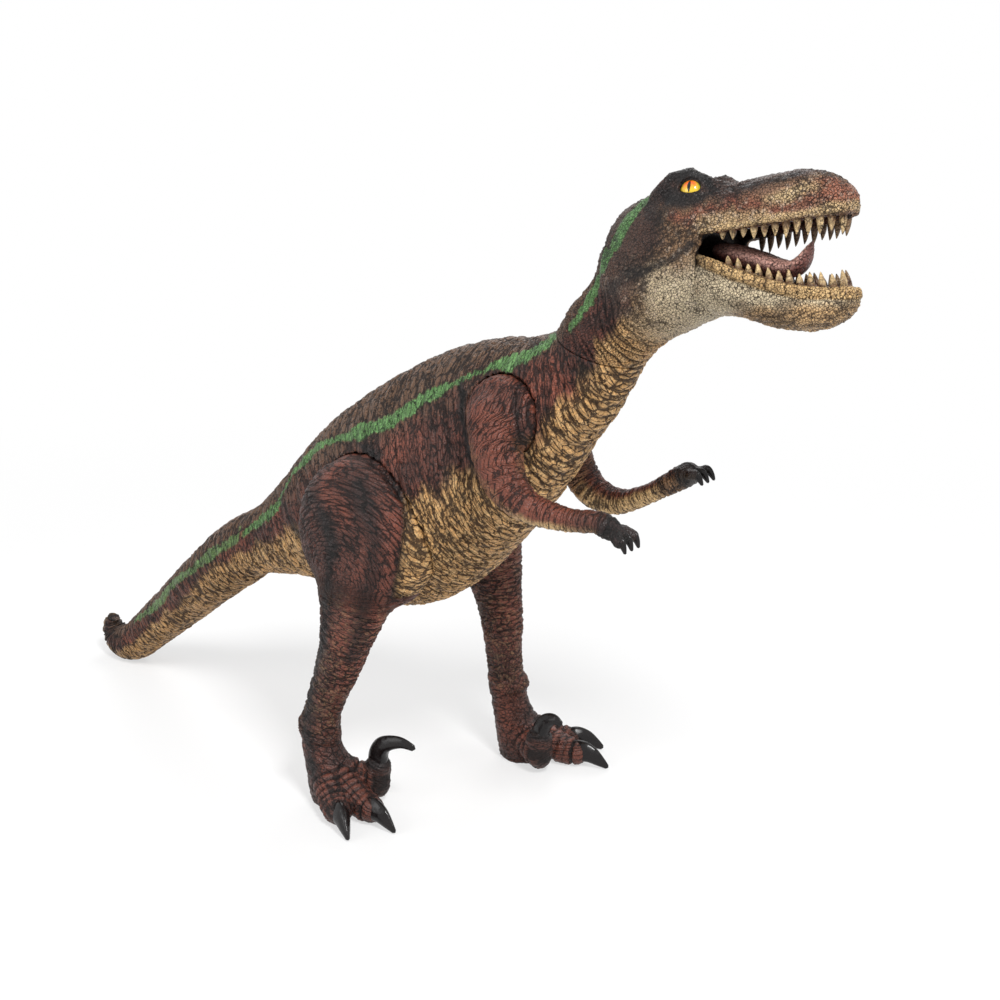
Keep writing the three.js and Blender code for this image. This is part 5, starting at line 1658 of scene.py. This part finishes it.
def leg_creases(q, high, foot, toe, wave):
    """Relief and wash: arcs above, rings below, knuckles on the toes and small scales all over. Gives
    also the crease cells' tone and the scales' tone, for the paint."""
    arcs, rings = leg_measures(*q.T)
    arc, arc_pillow, tone = creased(arcs, (2.8, 11, 11), 1.3)
    ring, ring_pillow, _ = creased(rings, (4.4, 30, 30), 1.5)
    pebble, bead, fleck = creased(q, (1.9, 1.9, 1.9), 0.8, 0.6)
    patchy = 0.45 + 0.55 * ramp(clouds(q, 15), -0.6, 0.3)
    between = ramp(wave, 0.6, 1.0) * toe
    body = (1 - toe) * patchy * (1 - 0.35 * foot)
    groove = body * (high * arc + (1 - high) * ring)
    relief = 0.3 * bead - 0.16 * pebble + 0.35 * body * (high * arc_pillow + 1.6 * (1 - high) * ring_pillow)
    relief += -0.65 * groove - 1.3 * between + 0.7 * toe * (1 - wave)
    return relief, np.maximum(np.maximum(groove, 0.55 * pebble), between), tone, fleck


print("from knuckle to knuckle, mm:", KNUCKLE_APART)


# %% Paint of the legs
def leg_paint(side_name, points, q, high, foot, toe, wave, tone, fleck):
    """Maroon with rusty clouds, a rusty front edge, a darker foot, and soot along both paths and on
    the collar of the raised claw."""
    paint = over(coat(MAROON, points), RUST, 0.5 * ramp(clouds(q, 20), -0.2, 0.8) + 0.15 * tone)
    paint = over(paint, RUST, 0.55 * (ramp(q[:, 0] - 4 - 10 * high, 0, 16) * (1 - foot)))
    paint = over(paint, SAND, 0.16 * (1 - high) * ramp(fleck, 0.5, 1) * (1 - foot))
    paint = over(paint, tint(44, 30, 28), 0.6 * foot * ramp(clouds(points, 14), -0.4, 0.6))
    paint = over(paint, RUST, 0.5 * toe * ramp(wave, 0.7, 0.2))
    paint = over(paint, SOOT_AND_SHADE, 0.9 * mark(q, rear_soot, 11, 3, 12))
    paint = over(paint, SOOT_AND_SHADE, 0.75 * mark(q, middle_soot, 10, 3, 12))
    claw_end = np.array(foot_point(side_name, *np.add(RAISED_END, (1, 0)), 33, 0.0))
    return over(paint, SOOT_AND_SHADE, 0.92 * ramp(np.linalg.norm(points - claw_end, axis=-1), 13, 9))


print("maroon as amounts of light:", MAROON.round(3))

# %% Leg skins
for side_name, s in SIDES.items():
    points, quads, out = skin(leg_form(side_name), f"{side_name}_leg_shell", LEG_STEP)
    q = np.stack(straight_leg(side_name, *points.T), -1)
    x, y, z = q.T
    high = ramp(z, 136, 158)
    foot = ramp(points[:, 2], ANKLE + 10, ANKLE - 8)
    toe, wave = knuckle_rings(side_name, points)
    relief, wash, tone, fleck = leg_creases(q, high, foot, toe, wave)
    paint = leg_paint(side_name, points, q, high, foot, toe, wave, tone, fleck)
    off_rim = ramp(y, HIP[1] + 9, HIP[1] + 13)
    kept_low = np.minimum(relief, 0.1) + np.maximum(relief - 0.1, 0) * off_rim
    moved = points + np.where(high > 0, kept_low, relief)[:, None] * out
    past = x - np.interp(z, *THIGH_EDGE.T)
    flank = ramp(past, -1.2, 1.2) * ramp(z, 149, 152)
    trunk_flow, trunk_like, trunk_wash, trunk_paint = trunk_layers(points, out, HAUNCH_BANDS)
    # A sunk line where the thigh ends, darkened with painted shade.
    edge_line = np.exp(-((past / 1.8) ** 2)) * ramp(z, 140, 158)
    points = blend(moved, trunk_like, (flank * off_rim)[:, None]) - (1.1 * edge_line * off_rim)[:, None] * out
    points[:, 2] = np.maximum(points[:, 2], 0)
    paint = over(blend(paint, trunk_paint, flank[:, None]), SOOT_AND_SHADE, 0.7 * edge_line)
    arcs, rings = leg_measures(x, y, z)
    own_flow = arcs * high[:, None] + rings * (1 - high[:, None])
    piece(f"{side_name}_leg_skin", points, quads, f"{side_name}_leg", [f"{side_name}_leg_shell"], "skin",
          creased_vinyl, wash=blend(wash, trunk_wash, flank), paint=paint,
          flow=np.where(flank[:, None] > 0.5, trunk_flow, own_flow))

# %% [markdown]
# ## Arms
# An arm is a round form along its bent path with a domed shoulder and three short fingers. Where it
# passes the chest its inner side is flat, so that it clears the chest at every angle. The creases run
# round the arm, and its top is painted red-brown and its underside tan. The front rim of the
# shoulder's disc carries on the chest's paint, as on the haunch.

# %% Arm forms
ARM_ROWS = {
    "right": [[75, 37, 263, 16], [81, 43, 247, 14.5], [89.5, 46, 231, 12.3], [103, 46.5, 221, 9.4],
              [119, 44, 217.5, 7.6], [134, 43, 217, 6.4], [148, 42, 219, 6.2], [157, 41, 217, 7]],
    "left": [[75, 37, 253, 15], [70, 42, 236, 12], [74, 46, 215, 11], [87, 46, 202.5, 9.8],
             [104, 45, 200.5, 7.8], [122, 41, 207.5, 6], [136, 40, 215.5, 5.8], [149, 39, 224, 6.8],
             [157, 38, 229, 7]],
}
FINGERS = ("inner", "middle", "outer")
FINGER_SPREAD = 6.5
REACH = {"right": (10, -4), "left": (7, 2)}
FINGER_CLAW = {"right": (4, -6), "left": (6, -5)}


def arm_path(side):
    """The arm's path from shoulder to wrist, laid on its side by the sign of y."""
    return through(ARM_ROWS[side], 3) * [1, SIDES[side], 1, 1]


def finger_path(side, i):
    """A finger from the palm outwards, the three fanned evenly."""
    x, y, z, _ = ARM_ROWS[side][-1]
    forward, up = REACH[side]
    out = (i - 1) * FINGER_SPREAD
    bend = [x + forward * 0.6, y + out * 0.7, z + up * 0.4, 3.5]
    return np.array([[x, y, z, 3.6], bend, [x + forward, y + out, z + up, 3.2]]) * [1, SIDES[side], 1, 1]


def arm_form(side):
    """The limb, flat towards the chest, blended with the shoulder's dome and the fingers."""

    def form(x, y, z):
        height, away = at_shoulder(x, y, z, SIDES[side])
        limb = tube(x, y, z, arm_path(side))
        limb = cut(limb, np.maximum(height - ARM_FLOOR, SHOULDER_R - 1 - away), 1.5)
        shape = join(limb, dome(height, away, SHOULDER_R, SHOULDER_THICK), 4)
        shape = np.maximum(shape, GAP / 2 - height)
        shape = np.maximum(shape, np.minimum(ARM_FLOOR - height, away - SHOULDER_R))
        for i in range(len(FINGERS)):
            shape = join(shape, tube(x, y, z, finger_path(side, i)), 1.6)
        return shape

    return form


print("arm paths:", {side: arm_path(side).shape for side in SIDES})

# %% Arm skins
ARM_STEP = 0.75
ARM_TAN = tint(196, 162, 114)
SHOULDER_EDGE = np.array([[225, 112], [229, 108], [234, 100], [247, 96], [264, 93], [279, 89], [290, 83]])


def arm_paint(points, out, along, s):
    """Rust where the skin faces up or is high on the arm, tan below, brown from the wrist on, and
    black fingers."""
    lit = ramp(out[:, 2] + 0.35 * out[:, 1] * s + 0.25 * clouds(points, 14), -0.3, 0.45)
    upper = ramp(along, 62, 40)
    red = np.maximum(lit, 0.8 * upper)
    paint = over(coat(ARM_TAN, points), RUST, red)
    paint = over(paint, MAROON, red * (0.3 + 0.35 * upper * ramp(clouds(points + 9, 15), -0.2, 0.5)))
    wrist = along.max() - 22
    paint = over(paint, tint(84, 50, 40), 0.75 * ramp(along, wrist - 6, wrist + 6))
    return over(paint, SOOT_AND_SHADE, 0.9 * ramp(along, wrist + 12, wrist + 20))


for side_name, s in SIDES.items():
    points, quads, out = skin(arm_form(side_name), f"{side_name}_arm_shell", ARM_STEP)
    _, along = along_tube(points, arm_path(side_name))
    height, away = at_shoulder(*points.T, s)
    q = np.stack([along, points[:, 1] * s, 0.4 * points[:, 2]], -1)
    hung = np.stack([along + 0.9 * points[:, 0] * ramp(along, 60, 20), q[:, 1], q[:, 2]], -1)
    groove, pillow, _ = creased(hung, (2.8, 9, 9), 1.1)
    pebble, bead, _ = creased(points, (2.0, 2.0, 2.0), 0.8, 0.5)
    patchy = 0.3 + 0.7 * ramp(clouds(points, 12), -0.4, 0.6)
    relief = 0.2 * bead + 0.32 * pillow - 0.6 * groove * patchy
    relief = np.where((height < 8) & (away > SHOULDER_R - 3), np.minimum(relief, 0.1), relief)
    wash = np.maximum(0.95 * groove * patchy, 0.5 * pebble)
    paint = arm_paint(points, out, along, s)
    moved = points + relief[:, None] * out
    past = points[:, 0] - np.interp(points[:, 2], *SHOULDER_EDGE.T)
    chest = ramp(past, -1, 1) * ramp(away, 26, 24.5) * ramp(points[:, 2], 240, 250)
    trunk_flow, _, trunk_wash, trunk_paint = trunk_layers(points, out, CHEST_BANDS)
    # A sunk line along the shoulder's front rim, where the arm meets the chest, is darkened with painted
    # shade.
    edge_line = np.exp(-((past / 1.5) ** 2)) * ramp(away, 27, 24) * ramp(height, 5, 9)
    points = moved - (0.8 * edge_line)[:, None] * out
    paint = over(blend(paint, trunk_paint, chest[:, None]), SOOT_AND_SHADE, 0.8 * edge_line)
    piece(f"{side_name}_arm_skin", points, quads, f"{side_name}_arm", [f"{side_name}_arm_shell"], "skin",
          creased_vinyl, wash=blend(wash, trunk_wash, chest), paint=paint,
          flow=np.where(chest[:, None] > 0.5, trunk_flow, hung))

# %% [markdown]
# ## Claws
# The claws are hard glossy mouldings set in the toes and fingers. Each is a horn with a narrow upper
# edge, which is where the gloss draws the bright line that the photograph shows.

# %% Claws
def glossy_claw():
    """Black plastic, glossy in patches, with flat facets as small as worn sculpting marks."""
    material, tree, shader = new_material("glossy black claw")
    place, noise = grain_noise(tree, 6, 5.0)
    colour = mixed_colour(tree, noise.outputs["Fac"], opaque(tint(9, 8, 9)), opaque(tint(30, 25, 25)))
    tree.links.new(colour, shader.inputs["Base Color"])
    dull = graded(tree, noise.outputs["Fac"], 0.0, 1.0, 0.12, 0.4)
    tree.links.new(dull, shader.inputs["Roughness"])
    bumped(tree, shader, cells_of(tree, place, 1 / (4 * MM)), 0.5, 0.5)
    shader.inputs["Specular IOR Level"].default_value = 0.3
    return material


claw = glossy_claw()


def horn(name, rows, side, body, node_name, sides=20):
    """A claw along a path, its last ring nearly a point, with a keel along its outer curve."""
    fine = through(rows, 6)
    fine[-1, 3] = max(0.35 * rows[-1][3], 0.3)
    points, quads, triangles, _, _ = swept(fine, sides, side=side, keel=0.55)
    points[:, 2] = np.maximum(points[:, 2], 0.05)
    piece(name, points, quads, body, [node_name], "claw", claw, triangles)


# %% Claws of toes and fingers
TOE_HORN = [(-5, 9.5, 6.6), (1, 10.2, 7.4), (7, 9, 6.2), (13, 5.6, 4.2), (19.5, 1.4, 1.4)]
SICKLE_REACH = {"right": 1.0, "left": 0.6}
SICKLE_LEAN = 0.5


def sickle_places(side_name):
    """The raised claw: straight up in its collar, then curving ahead and inwards to its tip."""
    top = SICKLE_TOP[side_name]
    curve = [(0, 0, 16, 5.8), (0, 0, top - 18, 6.8), (2, -0.5, top - 10, 6.3), (8, -2, top - 3.5, 5.3),
             (18, -7, top, 3.8), (27, -12, top - 2, 2.0)]
    reach = SICKLE_REACH[side_name]
    return [(RAISED_END[0] + reach * a, RAISED_END[1] + reach * b, z, r) for a, b, z, r in curve]


def level_side(angle):
    """The level direction square to a heading."""
    return [-np.sin(angle), np.cos(angle), 0]


for side_name, s in SIDES.items():
    body = f"{side_name}_leg"
    for toe_name, (heading, long) in TOES.items():
        way = np.radians(s * (FOOT_TURN[side_name] + heading))
        rows = foot_path(side_name, [(long + ahead, 0, z, r) for ahead, z, r in TOE_HORN], heading, 1)
        horn(f"{side_name}_{toe_name}_toe_horn", rows, level_side(way), body,
             f"{side_name}_{toe_name}_toe_claw")
    way = np.radians(s * FOOT_TURN[side_name]) - SICKLE_LEAN * s
    rows = foot_path(side_name, sickle_places(side_name), 0, 1)
    horn(f"{side_name}_sickle_horn", rows, level_side(way), body, f"{side_name}_sickle_claw")
    for i, finger in enumerate(FINGERS):
        x, y, z, _ = finger_path(side_name, i)[2]
        ahead, up = FINGER_CLAW[side_name]
        rows = np.array([[x - 1, y, z + 0.4, 2.5], [x + 0.3 * ahead, y, z + 0.5, 2.4],
                         [x + 0.7 * ahead, y, z + 0.4 * up, 1.9], [x + ahead, y, z + up, 0.8]])
        horn(f"{side_name}_{finger}_finger_horn", rows, [0, 1.0, 0], f"{side_name}_arm",
             f"{side_name}_{finger}_finger_claw", 14)

# %% [markdown]
# ## Joint fittings
# The studs and rings of the joints stay as the solid part has them, in unpainted moulded plastic with
# a faint mottle. They are inside, and only show when a limb is taken off.

# %% Fittings
fitting, tree, shader = new_material("moulded plastic fitting")
_, noise = grain_noise(tree, 3, 3.0)
mottle = mixed_colour(tree, noise.outputs["Fac"], opaque(tint(196, 192, 182)), opaque(tint(222, 218, 208)))
tree.links.new(mottle, shader.inputs["Base Color"])
shader.inputs["Roughness"].default_value = 0.5
for fixed in bpy.data.objects:
    if fixed.type == "MESH" and fixed.name.endswith(("_stud", "_ring")):
        fixed.data.materials.clear()
        fixed.data.materials.append(fitting)
        print(f"{fixed.name}: {fitting.name}")

# %% [markdown]
# ## Floor, background and light
# The photograph is a plain studio picture on white with a soft shadow. The floor is one large sheet
# that shows the shadow near the figure and turns to plain white a metre away, and the background is
# white by its own colour. Three soft lamps, the key lamp smaller and stronger for its glints, and a
# pale world light the figure at a plain level, so that the paints look as they are mixed.

# %% Floor
FLOOR_SIZE = 12
FLOOR_PALE = (0.9, 0.9, 0.9, 1)
WHITE = (1, 1, 1, 1)


def sheet(name, size, height):
    """A level square with its middle over the origin."""
    mesh = bpy.data.meshes.new(name)
    corner = size / 2
    corners = [(-corner, -corner), (corner, -corner), (corner, corner), (-corner, corner)]
    mesh.from_pydata([(x, y, height) for x, y in corners], [], [(0, 1, 2, 3)])
    made = bpy.data.objects.new(name, mesh)
    bpy.context.scene.collection.objects.link(made)
    made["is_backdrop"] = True
    return made


def seen_rays(tree):
    """1 for rays that go to the camera, or to it by a mirror or through glass."""
    rays = node(tree, "ShaderNodeLightPath").outputs
    first = reckoned(tree, "MAXIMUM", rays["Is Camera Ray"], rays["Is Glossy Ray"])
    return reckoned(tree, "MAXIMUM", first, rays["Is Transmission Ray"])


floor = sheet("studio floor", FLOOR_SIZE, 0)
floor_paint, tree, shader = new_material("studio floor")
shader.inputs["Base Color"].default_value = FLOOR_PALE
shader.inputs["Roughness"].default_value = 0.9
glow = node(tree, "ShaderNodeEmission", {"Color": WHITE})
place = node(tree, "ShaderNodeTexCoord").outputs["Object"]
far = node(tree, "ShaderNodeVectorMath", {0: place}, operation="LENGTH").outputs["Value"]
own_light = graded(tree, far, 0.35, 1.0, 0.6, 1.0, "SMOOTHSTEP")
share = reckoned(tree, "MULTIPLY", seen_rays(tree), own_light)
surface = node(tree, "ShaderNodeMixShader", {"Fac": share, 1: shader.outputs[0], 2: glow.outputs[0]})
tree.links.new(surface.outputs[0], tree.nodes["Material Output"].inputs["Surface"])
floor.data.materials.append(floor_paint)
print("floor, m:", FLOOR_SIZE)

# %% Background and lamps
world = bpy.data.worlds.new("studio")
bpy.context.scene.world = world
world.use_nodes = True
sky = world.node_tree.nodes["Background"]
sky.inputs["Color"].default_value = WHITE
WORLD_LEVEL = 0.4
level = graded(world.node_tree, seen_rays(world.node_tree), 0.0, 1.0, WORLD_LEVEL, 1.0)
world.node_tree.links.new(level, sky.inputs["Strength"])
AIM = (0.05, 0, 0.2)


def lamp(name, at, size, power):
    """A square soft lamp of a size in metres and a power in watts, aimed at the figure's middle."""
    light = bpy.data.lights.new(name, "AREA")
    light.size = size
    light.energy = power
    made = bpy.data.objects.new(name, light)
    made.location = at
    aim = np.array(AIM) - at
    made.rotation_euler = Vector(aim).to_track_quat("-Z", "Y").to_euler()
    bpy.context.scene.collection.objects.link(made)


lamp("key lamp", (1.3, -0.7, 1.9), 0.45, 42)
lamp("fill lamp", (-0.9, -1.7, 1.1), 1.2, 14)
lamp("back lamp", (-0.8, 1.4, 1.6), 1.0, 12)
bpy.context.scene.view_settings.view_transform = "Standard"
print("lamps:", len(bpy.data.lights))

# %% [markdown]
# ## The dressed figure's box
# The dressed figure has to stay in the solid part's box; its own box is worked out here.

# %% Finish
low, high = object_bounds()
